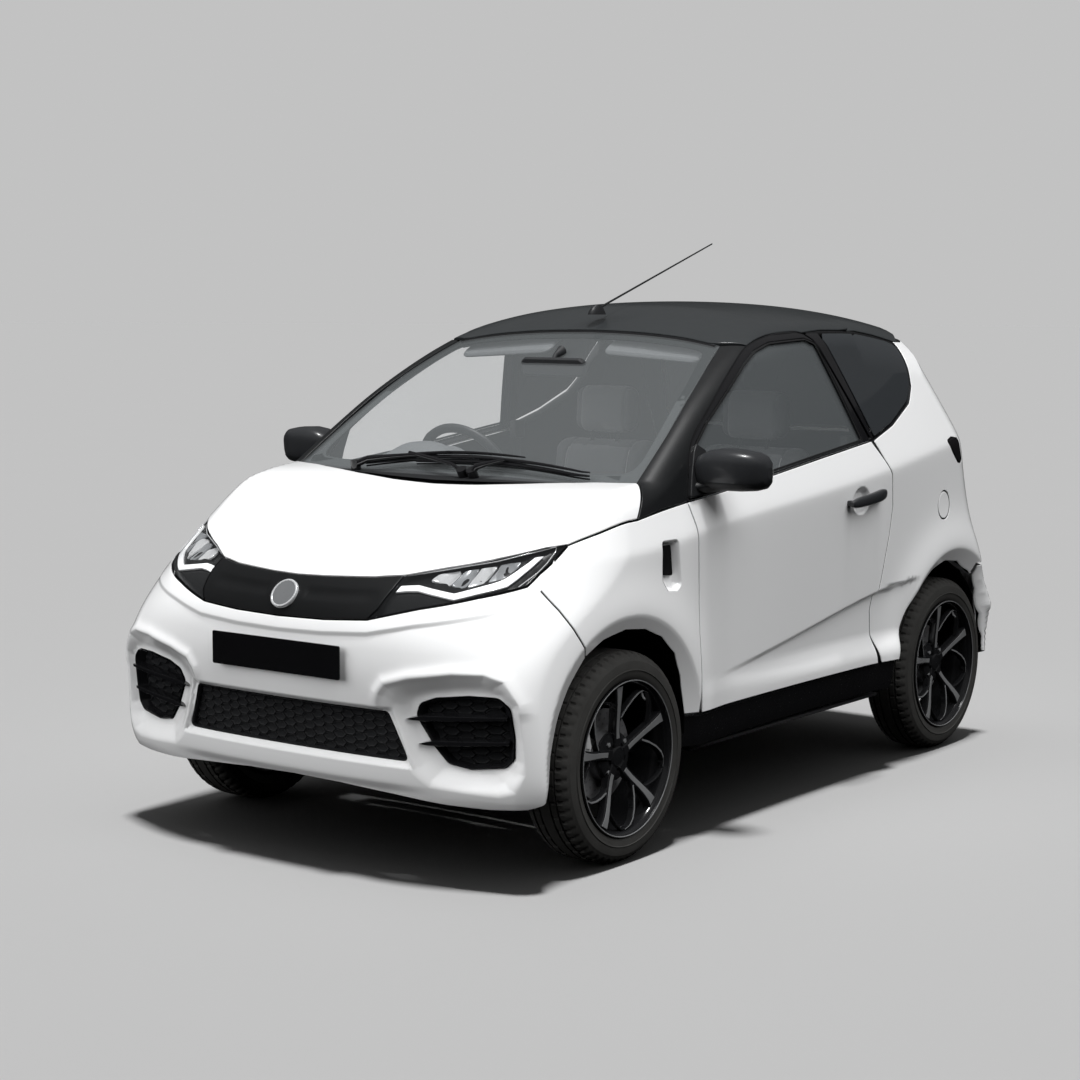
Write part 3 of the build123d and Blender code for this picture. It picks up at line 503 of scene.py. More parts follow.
def panel(view, outline, holes=(), gap=.0045, bev=.002, thick=.003, level=0., step=.013, edge=.009, dip=None, mats=(0, 0, 1), closed_back=True, extra=()):
    """A skin panel over an outline in a view's coordinates: face, rolled edge, sides and back.
    mats are the numbers for face, sides and back; dip(points) is how far the face sinks."""
    base = [ccw(dense(outline, edge))] + [ccw(dense(h, edge))[::-1] for h in holes]
    L0 = [inset(L, gap / 2) for L in base]
    L1 = [inset(L, gap / 2 + bev) for L in base]
    inner = lattice(L1, step)
    if len(extra):
        ex = np.asarray(extra)
        near = np.array([np.min((ex[:, 0] - p[0]) ** 2 + (ex[:, 1] - p[1]) ** 2) for p in inner])
        inner = np.concatenate([inner[near > (.45 * step) ** 2], ex])
    C, T, rings = triangulate(L1, inner)
    def place(Q, lv=0.0):
        s = dip(Q) if dip is not None else 0.0
        return on(view, Q, level=level + lv - s)
    if dip is None:
        normal = grad
    else:
        def fd(x, y, z):
            return F_BODY(x, y, z) + dip(view.back(np.stack([x, y, z], -1)))
        normal = lambda Q: grad(Q, f=fd)
    P = place(C)
    G = normal(P)
    cr = np.cross(P[T[:, 1]] - P[T[:, 0]], P[T[:, 2]] - P[T[:, 0]])
    flip = (cr * G[T[:, 0]]).sum() < 0
    b = Bits()
    faces = [list(t) for t in T]
    n0 = len(P)
    V = [P]; F = list(faces); strips = []
    k = n0
    R0 = []
    for L, ring in zip(L0, rings):
        p0 = place(L)
        g0 = normal(p0)
        p0 = p0 - g0 * bev
        R0.append((p0, g0, np.array(ring)))
        n = len(L)
        for i in range(n):
            j = (i + 1) % n
            F.append([k + i, k + j, ring[j], ring[i]])
        V.append(p0); k += n
    Vt = np.concatenate(V)
    N = np.zeros_like(Vt); N[:n0] = G
    k = n0
    lats = []
    for p0, g0, ring in R0:
        lat = p0 - P[ring]
        lat = unit(lat - g0 * (lat * g0).sum(1, keepdims=True))
        lats.append(lat)
        N[k:k + len(p0)] = unit(.6 * g0 + .8 * lat)
        k += len(p0)
    b.add(Vt, F, mats[0], N, flip)
    # sides
    PB = P - G * thick
    for (p0, g0, ring), lat in zip(R0, lats):
        n = len(p0)
        pb = p0 - g0 * max(thick - bev, .0004)
        q = [[i, n + i, n + (i + 1) % n, (i + 1) % n] for i in range(n)]
        b.add(np.concatenate([p0, pb]), q, mats[1], np.concatenate([lat, lat]), flip)
    if closed_back:
        VB = [PB]; FB = [f[::-1] for f in faces]; NB = [-G]
        k = n0
        for p0, g0, ring in R0:
            n = len(p0)
            for i in range(n):
                j = (i + 1) % n
                FB.append([k + i, int(ring[i]), int(ring[j]), k + j])
            VB.append(p0 - g0 * max(thick - bev, .0004)); NB.append(-g0); k += n
        b.add(np.concatenate(VB), FB, mats[2], np.concatenate(NB), flip)
    return b

def both(bits):
    b = Bits(); b.join(bits); b.join(bits.mirrored())
    return b

def grid(rows, m=0, close_u=False, close_v=False, flip=False, N=None):
    """Quads over rows of points."""
    R = np.asarray(rows, float)
    a, c = R.shape[:2]
    F = []
    for i in range(a if close_u else a - 1):
        for j in range(c if close_v else c - 1):
            i2, j2 = (i + 1) % a, (j + 1) % c
            F.append([i * c + j, i2 * c + j, i2 * c + j2, i * c + j2])
    return Bits().add(R.reshape(-1, 3), F, m, N, flip)

def tube(path, r, n=10, m=0, caps=True, flat=None):
    """Round bar along a path; r is one number or one per point."""
    P = np.asarray(path, float)
    r = np.broadcast_to(np.asarray(r, float), (len(P),))
    T = unit(np.gradient(P, axis=0))
    up = np.array([0, 0, 1.]) if abs(T[0][2]) < .9 else np.array([1., 0, 0])
    rows = []
    u = unit(np.cross(T[0], up))
    for i in range(len(P)):
        u = unit(u - T[i] * (u @ T[i])); v = np.cross(T[i], u)
        a = np.linspace(0, 2 * np.pi, n, endpoint=False)
        rows.append(P[i] + r[i] * (np.cos(a)[:, None] * u + np.sin(a)[:, None] * v))
    b = grid(rows, m, close_v=True)
    if caps:
        V = np.array(rows)
        b.add(V[0], [list(range(n))], m)
        b.add(V[-1], [list(range(n))[::-1]], m)
    return b

def turned(profile, centre, axis="x", n=96, m=0, close=True, flip=False):
    """Profile of (along, radius) points turned about an axis."""
    P = np.asarray(profile, float)
    a = np.linspace(0, 2 * np.pi, n, endpoint=False)
    c = np.array(centre, float)
    rows = []
    for t in a:
        x = P[:, 0]; r = P[:, 1]
        if axis == "x":
            q = np.stack([x, r * np.cos(t), r * np.sin(t)], 1)
        elif axis == "y":
            q = np.stack([r * np.sin(t), x, r * np.cos(t)], 1)
        else:
            q = np.stack([r * np.cos(t), r * np.sin(t), x], 1)
        rows.append(q + c)
    return grid(rows, m, close_u=True, close_v=close, flip=flip)

def slab(poly, y0, y1, place, bev=.0015, m=0):
    """Flat plate over an outline with eased edges; place(points, depth) puts it in space."""
    L = ccw(np.asarray(poly, float))
    Li = inset(L, bev)
    n = len(L)
    C, T, rings = triangulate([Li], np.zeros((0, 2)))
    b = Bits()
    rings3 = [place(Li, y1), place(L, y1 - bev), place(L, y0 + bev), place(Li, y0)]
    V = np.concatenate(rings3)
    F = []
    for k in range(3):
        for i in range(n):
            j = (i + 1) % n
            F.append([k * n + i, (k + 1) * n + i, (k + 1) * n + j, k * n + j])
    b.add(V, F, m)
    b.add(place(C, y1), [list(t) for t in T], m)
    b.add(place(C, y0), [list(t)[::-1] for t in T], m)
    return b

def bar(lo, hi, r=.004, m=0, seg=2):
    """Block with rounded edges, from corner to corner."""
    bm = bmesh.new()
    bmesh.ops.create_cube(bm, size=1)
    lo = np.array(lo, float); hi = np.array(hi, float)
    for v in bm.verts:
        v.co = Vector((lo + hi) / 2 + np.array(v.co) * (hi - lo))
    bmesh.ops.bevel(bm, geom=list(bm.edges), offset=min(r, .45 * float((hi - lo).min())), segments=seg, profile=.5, affect='EDGES', clamp_overlap=True)
    bm.verts.ensure_lookup_table()
    V = [list(v.co) for v in bm.verts]
    F = [[v.index for v in f.verts] for f in bm.faces]
    bm.free()
    return Bits().add(V, F, m)

# ------------------------------------------------------------------ materials
def mat(name, col, rough=.4, metal=0., coat=0., coat_rough=.03, spec=.5, var=.04, vscale=6., rvar=.04, bump=0., bscale=300., bdist=.0004, alpha=1., sheen=0., detail=4.):
    m = bpy.data.materials.new(name)
    m.use_nodes = True
    t = m.node_tree
    b = t.nodes["Principled BSDF"]
    b.inputs["Metallic"].default_value = metal
    b.inputs["Coat Weight"].default_value = coat
    b.inputs["Coat Roughness"].default_value = coat_rough
    b.inputs["Specular IOR Level"].default_value = spec
    b.inputs["Alpha"].default_value = alpha
    b.inputs["Sheen Weight"].default_value = sheen
    tc = t.nodes.new("ShaderNodeTexCoord")
    n = t.nodes.new("ShaderNodeTexNoise")
    n.inputs["Scale"].default_value = vscale
    n.inputs["Detail"].default_value = detail
    t.links.new(tc.outputs["Object"], n.inputs["Vector"])
    mix = t.nodes.new("ShaderNodeMix"); mix.data_type = 'RGBA'
    lo = [max(0, c * (1 - var)) for c in col]; hi = [min(1, c * (1 + var)) for c in col]
    mix.inputs["A"].default_value = (*lo, 1); mix.inputs["B"].default_value = (*hi, 1)
    t.links.new(n.outputs["Fac"], mix.inputs["Factor"])
    t.links.new(mix.outputs["Result"], b.inputs["Base Color"])
    n2 = t.nodes.new("ShaderNodeTexNoise")
    n2.inputs["Scale"].default_value = vscale * 7
    t.links.new(tc.outputs["Object"], n2.inputs["Vector"])
    mr = t.nodes.new("ShaderNodeMapRange")
    mr.inputs["To Min"].default_value = max(.01, rough - rvar); mr.inputs["To Max"].default_value = min(1, rough + rvar)
    t.links.new(n2.outputs["Fac"], mr.inputs["Value"])
    t.links.new(mr.outputs["Result"], b.inputs["Roughness"])
    if bump:
        n3 = t.nodes.new("ShaderNodeTexNoise")
        n3.inputs["Scale"].default_value = bscale
        n3.inputs["Detail"].default_value = 3
        t.links.new(tc.outputs["Object"], n3.inputs["Vector"])
        bp = t.nodes.new("ShaderNodeBump")
        bp.inputs["Strength"].default_value = bump
        bp.inputs["Distance"].default_value = bdist
        t.links.new(n3.outputs["Fac"], bp.inputs["Height"])
        t.links.new(bp.outputs["Normal"], b.inputs["Normal"])
    return m

def weave(m, scale, strength, dist=.0006):
    """Adds a woven bump of two crossed waves to a material."""
    t = m.node_tree
    b = t.nodes["Principled BSDF"]
    tc = t.nodes.new("ShaderNodeTexCoord")
    prev = None
    for ax in ('X', 'Z'):
        w = t.nodes.new("ShaderNodeTexWave")
        w.bands_direction = ax
        w.inputs["Scale"].default_value = scale
        w.inputs["Distortion"].default_value = .4
        t.links.new(tc.outputs["Object"], w.inputs["Vector"])
        if prev is None:
            prev = w.outputs["Fac"]
        else:
            mm = t.nodes.new("ShaderNodeMath"); mm.operation = 'MULTIPLY'
            t.links.new(prev, mm.inputs[0]); t.links.new(w.outputs["Fac"], mm.inputs[1])
            prev = mm.outputs[0]
    bp = t.nodes.new("ShaderNodeBump")
    bp.inputs["Strength"].default_value = strength
    bp.inputs["Distance"].default_value = dist
    t.links.new(prev, bp.inputs["Height"])
    t.links.new(bp.outputs["Normal"], b.inputs["Normal"])
    return m

M_WHITE = mat("paint_white", (.80, .805, .81), rough=.30, coat=1., coat_rough=.04, var=.008, vscale=3, rvar=.03, bump=.02, bscale=900, bdist=.0001)
M_WHITE_IN = mat("paint_white_inside", (.50, .505, .51), rough=.5, var=.03, rvar=.05)
M_ROOF = mat("roof_black", (.024, .0265, .028), rough=.34, coat=.35, coat_rough=.18, var=.10, vscale=4, rvar=.04, bump=.03, bscale=700, bdist=.0001)
M_BLACK = mat("trim_black", (.012, .0125, .0135), rough=.48, var=.15, vscale=20, rvar=.06, bump=.16, bscale=1400, bdist=.0002)
M_GLOSS = mat("gloss_black", (.008, .008, .009), rough=.13, coat=.8, coat_rough=.03, var=.1, vscale=5, rvar=.03)
M_MIRROR_BLACK = mat("mirror_housing", (.022, .023, .025), rough=.34, coat=.25, coat_rough=.12, var=.1, vscale=14, rvar=.05, bump=.05, bscale=1200, bdist=.00015)
# near black: the arch liners' own black, and painted shade where it fills the seams, the front openings and the disc's
# drilled holes
M_BLACK_AND_SHADE = mat("black_and_painted_shade", (.006, .006, .0065), rough=.8, spec=.2, var=.3, vscale=12)
M_SILL = mat("sill_black", (.006, .006, .0065), rough=.26, coat=.3, coat_rough=.1, var=.15, vscale=10, rvar=.06)
M_PLATE = mat("plate_black", (.004, .004, .0045), rough=.22, var=.1, vscale=25, rvar=.04)
M_SILVER = mat("disc_silver", (.52, .53, .54), rough=.28, metal=.35, var=.05, vscale=30, rvar=.06)
M_SILVER_D = mat("disc_dark", (.16, .165, .17), rough=.32, metal=.35, var=.08, vscale=30, rvar=.05)
M_RIM = mat("rim_black", (.010, .0102, .011), rough=.18, coat=.7, coat_rough=.05, var=.12, vscale=18, rvar=.05)
# grey: the nuts' and valve's own grey, painted sheen on the glossy spoke facets, and a painted highlight on the rim's
# lip
M_RIM_GREY_AND_SHEEN = mat("rim_grey_and_painted_sheen", (.185, .188, .192), rough=.24, metal=.20, coat=.5, coat_rough=.08, var=.1, vscale=30, rvar=.05)
M_TYRE = mat("tyre_rubber", (.036, .0355, .034), rough=.78, spec=.3, var=.22, vscale=22, rvar=.08, bump=.35, bscale=420, bdist=.0004)
M_DISC = mat("brake_disc", (.30, .30, .31), rough=.34, metal=.6, var=.10, vscale=40, rvar=.10)
M_IRON = mat("cast_iron", (.16, .16, .165), rough=.6, metal=.6, var=.2, vscale=30, rvar=.1, bump=.3, bscale=300)
M_CHASSIS = mat("chassis_black", (.03, .03, .032), rough=.55, var=.2, vscale=12, rvar=.1, bump=.2, bscale=200)
M_GREY = mat("cabin_grey", (.085, .090, .094), rough=.62, var=.06, vscale=16, rvar=.06, bump=.3, bscale=1500, bdist=.0002)
M_GREY_D = mat("cabin_dark", (.022, .023, .0245), rough=.60, var=.1, vscale=16, rvar=.06, bump=.3, bscale=1500, bdist=.0002)
M_HEADLINING = mat("headlining", (.20, .205, .21), rough=.95, sheen=.2, var=.05, vscale=60, rvar=.03, bump=.4, bscale=1200)
M_SEAT = weave(mat("seat_cloth", (.085, .088, .092), rough=.92, sheen=.25, var=.12, vscale=220, rvar=.04), 420, .5)
M_SEAT_EDGE = mat("seat_edge", (.045, .046, .049), rough=.62, sheen=.1, var=.1, vscale=80, rvar=.06, bump=.35, bscale=900)
M_STITCH = mat("seat_stitch", (.25, .255, .26), rough=.8, var=.1, vscale=300)
M_GLASS = mat("screen_glass", (.52, .555, .57), rough=.02, coat=0., spec=.5, var=.03, vscale=2, rvar=.006, alpha=.072)
M_GLASS_SIDE = mat("side_glass", (.44, .48, .50), rough=.02, spec=.5, var=.03, vscale=2, rvar=.006, alpha=.082)
M_GLASS_DARK = mat("dark_glass", (.030, .033, .036), rough=.03, spec=.5, var=.05, vscale=2, rvar=.008, alpha=.93)
M_GLASS_BORDER = mat("glass_border", (.026, .029, .030), rough=.06, spec=.5, var=.05, vscale=2, rvar=.01, alpha=.93)
M_LENS = mat("lamp_lens", (.22, .23, .24), rough=.02, spec=.5, var=.02, vscale=3, rvar=.006, alpha=.018)
M_CHROME = mat("lamp_reflector", (.60, .61, .62), rough=.16, metal=.45, var=.04, vscale=40, rvar=.05)
M_LAMP_GREY = mat("lamp_grey", (.26, .27, .28), rough=.25, metal=.4, var=.08, vscale=40, rvar=.05)
M_LAMP_BLACK = mat("lamp_black", (.006, .0063, .0066), rough=.24, var=.1, vscale=30, rvar=.05)
M_DRL = mat("lamp_white", (.86, .87, .88), rough=.22, coat=.6, coat_rough=.03, var=.015, vscale=30, rvar=.03)
M_RED = mat("tail_red", (.30, .010, .012), rough=.14, coat=.6, coat_rough=.03, var=.1, vscale=60, rvar=.03)
M_SMOKE = mat("tail_smoke", (.012, .011, .012), rough=.05, spec=.5, var=.05, vscale=4, rvar=.01, alpha=.86)
M_MIRROR = mat("mirror_glass", (.75, .76, .77), rough=.02, metal=1., var=.01, vscale=4, rvar=.008)
M_RUBBER = mat("seal_rubber", (.010, .010, .0105), rough=.7, spec=.3, var=.15, vscale=60, rvar=.06)
M_LIP = mat("lip_grey", (.30, .305, .31), rough=.55, var=.05, vscale=12, rvar=.05, bump=.1, bscale=800)
M_SILVER_C = mat("caliper_cast", (.62, .625, .63), rough=.45, metal=.25, var=.10, vscale=50, rvar=.08, bump=.2, bscale=500)
M_CARPET = mat("carpet_dark", (.045, .046, .048), rough=.98, spec=.15, sheen=.15, var=.25, vscale=240, rvar=.03, bump=.6, bscale=1500, bdist=.0008)
M_PILLAR = mat("pillar_black", (.0065, .0070, .0076), rough=.42, coat=.12, coat_rough=.2, var=.10, vscale=5, rvar=.04, bump=.03, bscale=700, bdist=.0001)
M_STRIP = mat("panel_black", (.0055, .0058, .0062), rough=.42, spec=.35, var=.15, vscale=18, rvar=.05, bump=.10, bscale=1400, bdist=.0002)
M_MESH = mat("mesh_black", (.016, .0165, .0175), rough=.42, var=.15, vscale=20, rvar=.06, bump=.12, bscale=1400, bdist=.0002)

# ------------------------------------------------------------------ outlines, taken round the car (metres)
LAMP_TOP = [(.319, -1.251, .780), (.415, -1.183, .802), (.513, -1.113, .825), (.599, -1.026, .849), (.633, -.976, .854)]
LAMP_LOW = [(.629, -1.026, .821), (.621, -1.082, .789), (.615, -1.127, .761), (.536, -1.234, .736), (.418, -1.313, .708), (.286, -1.360, .674)]
BONNET_REAR = [(0, -.742, .965), (.15, -.736, .968), (.30, -.716, .974), (.45, -.684, .982), (.56, -.652, .988), (.612, -.634, .988)]
BONNET_SIDE = [(.684, -.739, .901), (.674, -.812, .891), (.663, -.883, .878)]
STRIP_TOP = [(.241, -1.277, .772), (.089, -1.302, .765), (0, -1.307, .763)]
STRIP_LOW = [(0, -1.377, .662), (.153, -1.373, .665), (.286, -1.360, .674)]
LAMP_IN = [(.307, -1.342, .702), (.313, -1.319, .728), (.318, -1.294, .750)]
SEAM_F = [(.641, -1.102, .748), (.682, -1.083, .702), (.715, -1.048, .636), (.712, -.999, .573)]
ARCH_F_YZ = [(-.920, .606), (-.821, .621), (-.734, .612), (-.656, .582), (-.590, .530), (-.550, .464), (-.524, .39), (-.514, .352)]
ARCH_F_FRONT = [(-1.057, .501), (-1.097, .434), (-1.137, .344), (-1.157, .267), (-1.166, .228)]
ARCH_R_YZ = [(.668, .345), (.692, .42), (.735, .50), (.800, .562), (.89, .610), (1.0, .630), (1.10, .618), (1.19, .578), (1.262, .51), (1.305, .42), (1.33, .30), (1.335, .24)]
DOOR_REAR = [(.560, .352), (.540, .44), (.530, .52), (.560, .63), (.592, .75), (.604, .84), (.590, .94), (.558, .985)]
DOOR_FRONT = [(-.505, .932), (-.494, .87), (-.482, .70), (-.478, .57), (-.468, .45), (-.465, .352)]
BELT = [(-.505, .932), (-.36, .946), (-.20, .964), (-.054, .980), (.20, 1.010), (.40, 1.033), (.505, 1.045)]
DOOR_UP = [(.505, 1.045), (.352, 1.352), (.318, 1.376), (.12, 1.372), (-.02, 1.350), (-.20, 1.257), (-.405, 1.092), (-.470, .992), (-.505, .932)]
SIDE_GLASS = [(-.398, .962), (-.402, 1.060), (-.184, 1.242), (-.06, 1.322), (.08, 1.350), (.31, 1.358), (.355, 1.343), (.455, 1.056), (.20, 1.026), (-.08, .994)]
QGLASS = [(.408, 1.352), (.43, 1.3725), (.54, 1.3715), (.66, 1.3675), (.76, 1.3535), (.855, 1.3345), (.872, 1.318), (.846, 1.205), (.800, 1.155), (.66, 1.092), (.535, 1.055)]

DOOR_EDGE = [(.576, .352, 1.350), (.5555, .318, 1.371), (.546, .235, 1.377), (.541, .147, 1.3685), (.5475, .020, 1.339), (.567, -.075, 1.296), (.599, -.212, 1.222), (.621, -.323, 1.153), (.641, -.420, 1.082), (.668, -.472, .995), (.688, -.505, .932)]
def curve3(pts, step):
    """Smooth run through 3-D points; also where each given point sits in it."""
    P = np.asarray(pts, float)
    s = np.concatenate([[0], np.cumsum(np.linalg.norm(np.diff(P, axis=0), axis=1) ** .75)])
    c = [spline(list(zip(s, P[:, k]))) for k in range(3)]
    t = []; at = []
    for a, b, p, q in zip(s[:-1], s[1:], P[:-1], P[1:]):
        at.append(len(t))
        t += list(np.linspace(a, b, max(2, int(np.ceil(np.linalg.norm(q - p) / step))), endpoint=False))
    at.append(len(t)); t = np.array(t + [s[-1]])
    return np.stack([f(t) for f in c], 1), at
DOOR_EDGE, DE_AT = curve3(DOOR_EDGE, .012)
def back_of(view, pts):
    return view.back(np.asarray(pts, float))

def yz(view, pts):
    """Outline given as (y, z) on the side, in a view's coordinates."""
    p = on(Side, np.asarray(pts, float))
    return view.back(p)

def zx(view, pts):
    """Outline given as (x, z) from the front."""
    O, D, t0, t1 = FrontView.rays(*np.asarray(pts, float).T)
    return view.back(hit(O, D, t0, t1))

def zx_rear(view, pts):
    p = np.asarray(pts, float)
    z = np.zeros(len(p))
    return view.back(hit(np.stack([p[:, 0], z, p[:, 1]], -1), np.stack([z, z + 1, z], -1), .3, 1.5))

def xy(view, pts):
    return view.back(on(Top, np.asarray(pts, float)))

def left_right(half):
    """Closed outline, symmetric in x, from its left half given from the middle to the middle."""
    h = np.asarray(half, float)
    m = h[::-1].copy(); m[:, 0] *= -1
    if abs(h[0, 0]) < 1e-6:
        m = m[:-1]
    if abs(h[-1, 0]) < 1e-6:
        m = m[1:]
    return np.concatenate([h, m])

# the seams are cut into short runs on the body first, so both sides of each follow one line
def dense3(view, pts):
    return on(view, dense(back_of(view, pts), .012, closed=False))
LAMP_LOW_A = dense3(Nose, LAMP_LOW[:3]); LAMP_LOW_B = dense3(Nose, LAMP_LOW[:5]); LAMP_LOW = dense3(Nose, LAMP_LOW)
SIDE_SEAM = dense3(Hood, [LAMP_TOP[-1]] + BONNET_SIDE[::-1] + [BONNET_REAR[-1]])
k_ = len(dense3(Hood, [LAMP_TOP[-1]] + BONNET_SIDE[::-1]))
BONNET_SIDE = SIDE_SEAM[:k_][::-1]; COWL_SIDE = SIDE_SEAM[k_ - 1:]
LAMP_TOP = dense3(Nose, LAMP_TOP); STRIP_TOP = dense3(Nose, STRIP_TOP); STRIP_LOW = dense3(Nose, STRIP_LOW); SEAM_F = dense3(Nose, SEAM_F); LAMP_IN = dense3(Nose, LAMP_IN)

# ------------------------------------------------------------------ bonnet
h = np.concatenate([back_of(Hood, BONNET_REAR), back_of(Hood, BONNET_SIDE), back_of(Hood, LAMP_TOP[::-1]), back_of(Hood, STRIP_TOP)])
bonnet_line = left_right(h)
piece("bonnet_skin", panel(Hood, bonnet_line, thick=.006, step=.016), [M_WHITE, M_WHITE_IN], "bonnet", "bonnet")

# ------------------------------------------------------------------ fenders
VENT = [(-.660, .838), (-.590, .838), (-.574, .718), (-.595, .704), (-.640, .708), (-.664, .736)]
f = np.concatenate([back_of(Flank, LAMP_LOW_A), back_of(Flank, SEAM_F), yz(Flank, ARCH_F_YZ), yz(Flank, [(-.468, .352)]),
                    yz(Flank, DOOR_FRONT[::-1][1:]), yz(Flank, [(-.62, .918)]), back_of(Flank, BONNET_SIDE), back_of(Flank, [LAMP_TOP[-1]])])
vent_hole = round_poly(yz(Flank, VENT), .012)
def arch_rows(arch, edge, outline, holes=()):
    """Extra points round a wheel arch so that its band comes out even."""
    cy, cz, r = arch
    t = np.linspace(-.9, math.pi + .9, 150)
    out = []
    for k in np.arange(-.045, .115, .0075):
        y = cy + (r + k) * np.cos(t); z = cz + (r + k) * np.sin(t)
        z = np.where(z < cz, cz + (z - cz) * 2, z)
        out.append(np.stack([y, z], 1)[(z > .24)])
    p = yz(Flank, np.concatenate(out))
    ok = poly_sd(p[:, 0], p[:, 1], outline) < -.007
    for h_ in holes:
        ok &= poly_sd(p[:, 0], p[:, 1], h_) > .007
    return p[ok]
fender = panel(Flank, f, holes=[vent_hole], thick=.004, step=.014, extra=arch_rows(ARCH_F, None, f, [vent_hole]))
piece("fenders_skin", both(fender), [M_WHITE, M_WHITE_IN], "body", "fenders")
vent_out = round_poly(yz(Flank, VENT), .012)
def vent_cup(view, outline, depth, rim):
    """A pocket: rim at the skin, wall sloping in, floor."""
    L = ccw(dense(outline, .006))
    rows = []
    for ins, lv in [(-.0025, -.0005), (.001, -.0030), (.004, -.010), (rim, -depth)]:
        q = inset(L, ins)
        rows.append(on(view, q, level=lv))
    b = grid(np.array(rows), 0, close_v=True, flip=False)
    q = inset(L, rim)
    C, T, r = triangulate([q], lattice([q], .012))
    P = on(view, C, level=-depth)
    b.add(P, [list(t) for t in T], 1)
    return b
cup = vent_cup(Flank, vent_out, .024, .009)
piece("fender_vent_cups", both(cup), [M_WHITE, M_WHITE], "body")
slot_line = yz(Flank, [(-.648, .826), (-.604, .826), (-.594, .742), (-.648, .748)])
ins = panel(Flank, round_poly(slot_line, .006), gap=0, bev=.002, thick=.006, level=-.014, step=.02)
piece("fender_vent_slots", both(ins), [M_BLACK_AND_SHADE, M_BLACK_AND_SHADE], "body")

# ------------------------------------------------------------------ front bumper
def bowl_line(pts):
    return zx(Nose, pts)
BOWL = bowl_line([(.312, .455), (.322, .492), (.345, .520), (.412, .540), (.532, .560), (.612, .562), (.658, .545), (.690, .488), (.700, .375), (.701, .310), (.680, .262), (.635, .246), (.446, .256), (.398, .292)])
FOG = bowl_line([(.410, .440), (.426, .470), (.474, .487), (.57, .498), (.648, .498), (.674, .474), (.681, .40), (.678, .345), (.656, .323), (.56, .312), (.496, .321), (.457, .362)])
GR = bowl_line([(-.333, .441), (.333, .441), (.384, .319), (-.384, .319)])
GR_OUT = bowl_line([(-.352, .458), (.352, .458), (.408, .300), (-.408, .300)])
BOWL_R = BOWL * [-1, 1]; FOG_R = FOG * [-1, 1]
def bumper_dip(q):
    a = np.abs(q[:, 0]); z = q[:, 1]
    db = poly_sd(a, z, BOWL); df = poly_sd(a, z, FOG)
    t = np.clip(-db / np.maximum(-db + np.maximum(df, 0), 1e-4), 0, 1)
    bowl = np.where(db < 0, .032 * sstep(t * 1.15), 0)
    dg = poly_sd(q[:, 0], z, GR_OUT)
    gr = .014 * sstep(-dg / .017)
    lip = .010 * sstep((.262 - z) / .03) * sstep((.50 - a) / .2)
    edge_z = np.interp(a, [0, .15, .29, .43, .56, .70], [.634, .637, .646, .676, .704, .745])
    brow = .0060 * sstep((edge_z - z) / .016) * sstep((z - .47) / .13) * sstep((.66 - a) / .12)
    ridge = -.0065 * np.exp(-(np.maximum(db, 0) / .016) ** 2) * sstep((z - .44) / .05)
    return bowl + gr + lip + brow + np.where(db > -.002, ridge, ridge * np.exp(-(np.minimum(db, 0) / .010) ** 2))
h = np.concatenate([back_of(Nose, STRIP_LOW), back_of(Nose, LAMP_LOW_B[::-1]), back_of(Nose, SEAM_F), yz(Nose, ARCH_F_FRONT),
                    zx(Nose, [(.69, .216), (.60, .210), (.48, .212), (.32, .222), (.16, .232), (0, .236)])])
bumper_line = left_right(h)
fog_hole = round_poly(FOG, .020); grille_hole = round_poly(GR, .012)
aa = np.arange(-.66, .6601, .006)
brow_pts = np.concatenate([np.stack([aa, np.interp(np.abs(aa), [0, .15, .29, .43, .56, .70], [.634, .637, .646, .676, .704, .745]) - k], 1) for k in (-.004, 0, .004, .008, .012, .016, .020)])
brow_pts = brow_pts[poly_sd(brow_pts[:, 0], brow_pts[:, 1], bumper_line) < -.006]
ring_pts = []
for L_, ks in ((BOWL, (-.012, -.006, 0, .005, .010, .016)), (FOG, (-.012, -.006))):
    C_ = ccw(dense(round_poly(L_, .012), .006))
    for k in ks:
        ring_pts.append(inset(C_, -k) if k else C_)
ring_pts = np.concatenate(ring_pts); ring_pts = np.concatenate([ring_pts, ring_pts * [-1, 1]])
ok_ = (poly_sd(ring_pts[:, 0], ring_pts[:, 1], bumper_line) < -.006) & (poly_sd(np.abs(ring_pts[:, 0]), ring_pts[:, 1], FOG) > .005) & (poly_sd(ring_pts[:, 0], ring_pts[:, 1], GR) > .006)
ring_pts = ring_pts[ok_]
brow_pts = np.concatenate([brow_pts[np.min(np.hypot(brow_pts[:, None, 0] - ring_pts[None, ::3, 0], brow_pts[:, None, 1] - ring_pts[None, ::3, 1]), axis=1) > .007], ring_pts])
front_b = panel(Nose, bumper_line, holes=[fog_hole, fog_hole * [-1, 1], grille_hole], thick=.004, step=.0085, edge=.007, dip=bumper_dip, extra=brow_pts)
piece("front_bumper_skin", front_b, [M_WHITE, M_WHITE_IN], "body", "front_bumper")

# ------------------------------------------------------------------ black strip and lamps
h = np.concatenate([back_of(Nose, STRIP_TOP[::-1]), back_of(Nose, [LAMP_TOP[0]]), back_of(Nose, LAMP_IN[::-1]), back_of(Nose, STRIP_LOW[::-1])])
def strip_dip(q):
    a = np.abs(q[:, 0]); z = q[:, 1]
    zc = .722 + .10 * a * a
    ch = .007 * sstep(1 - np.abs(z - zc) / .020) * sstep((a - .055) / .02) * sstep((.300 - a) / .05)
    return ch + .002
strip = panel(Nose, left_right(h), thick=.005, step=.008, edge=.007, gap=.004, dip=strip_dip)
piece("front_panel_skin", strip, [M_STRIP, M_BLACK], "body", "front_panel")

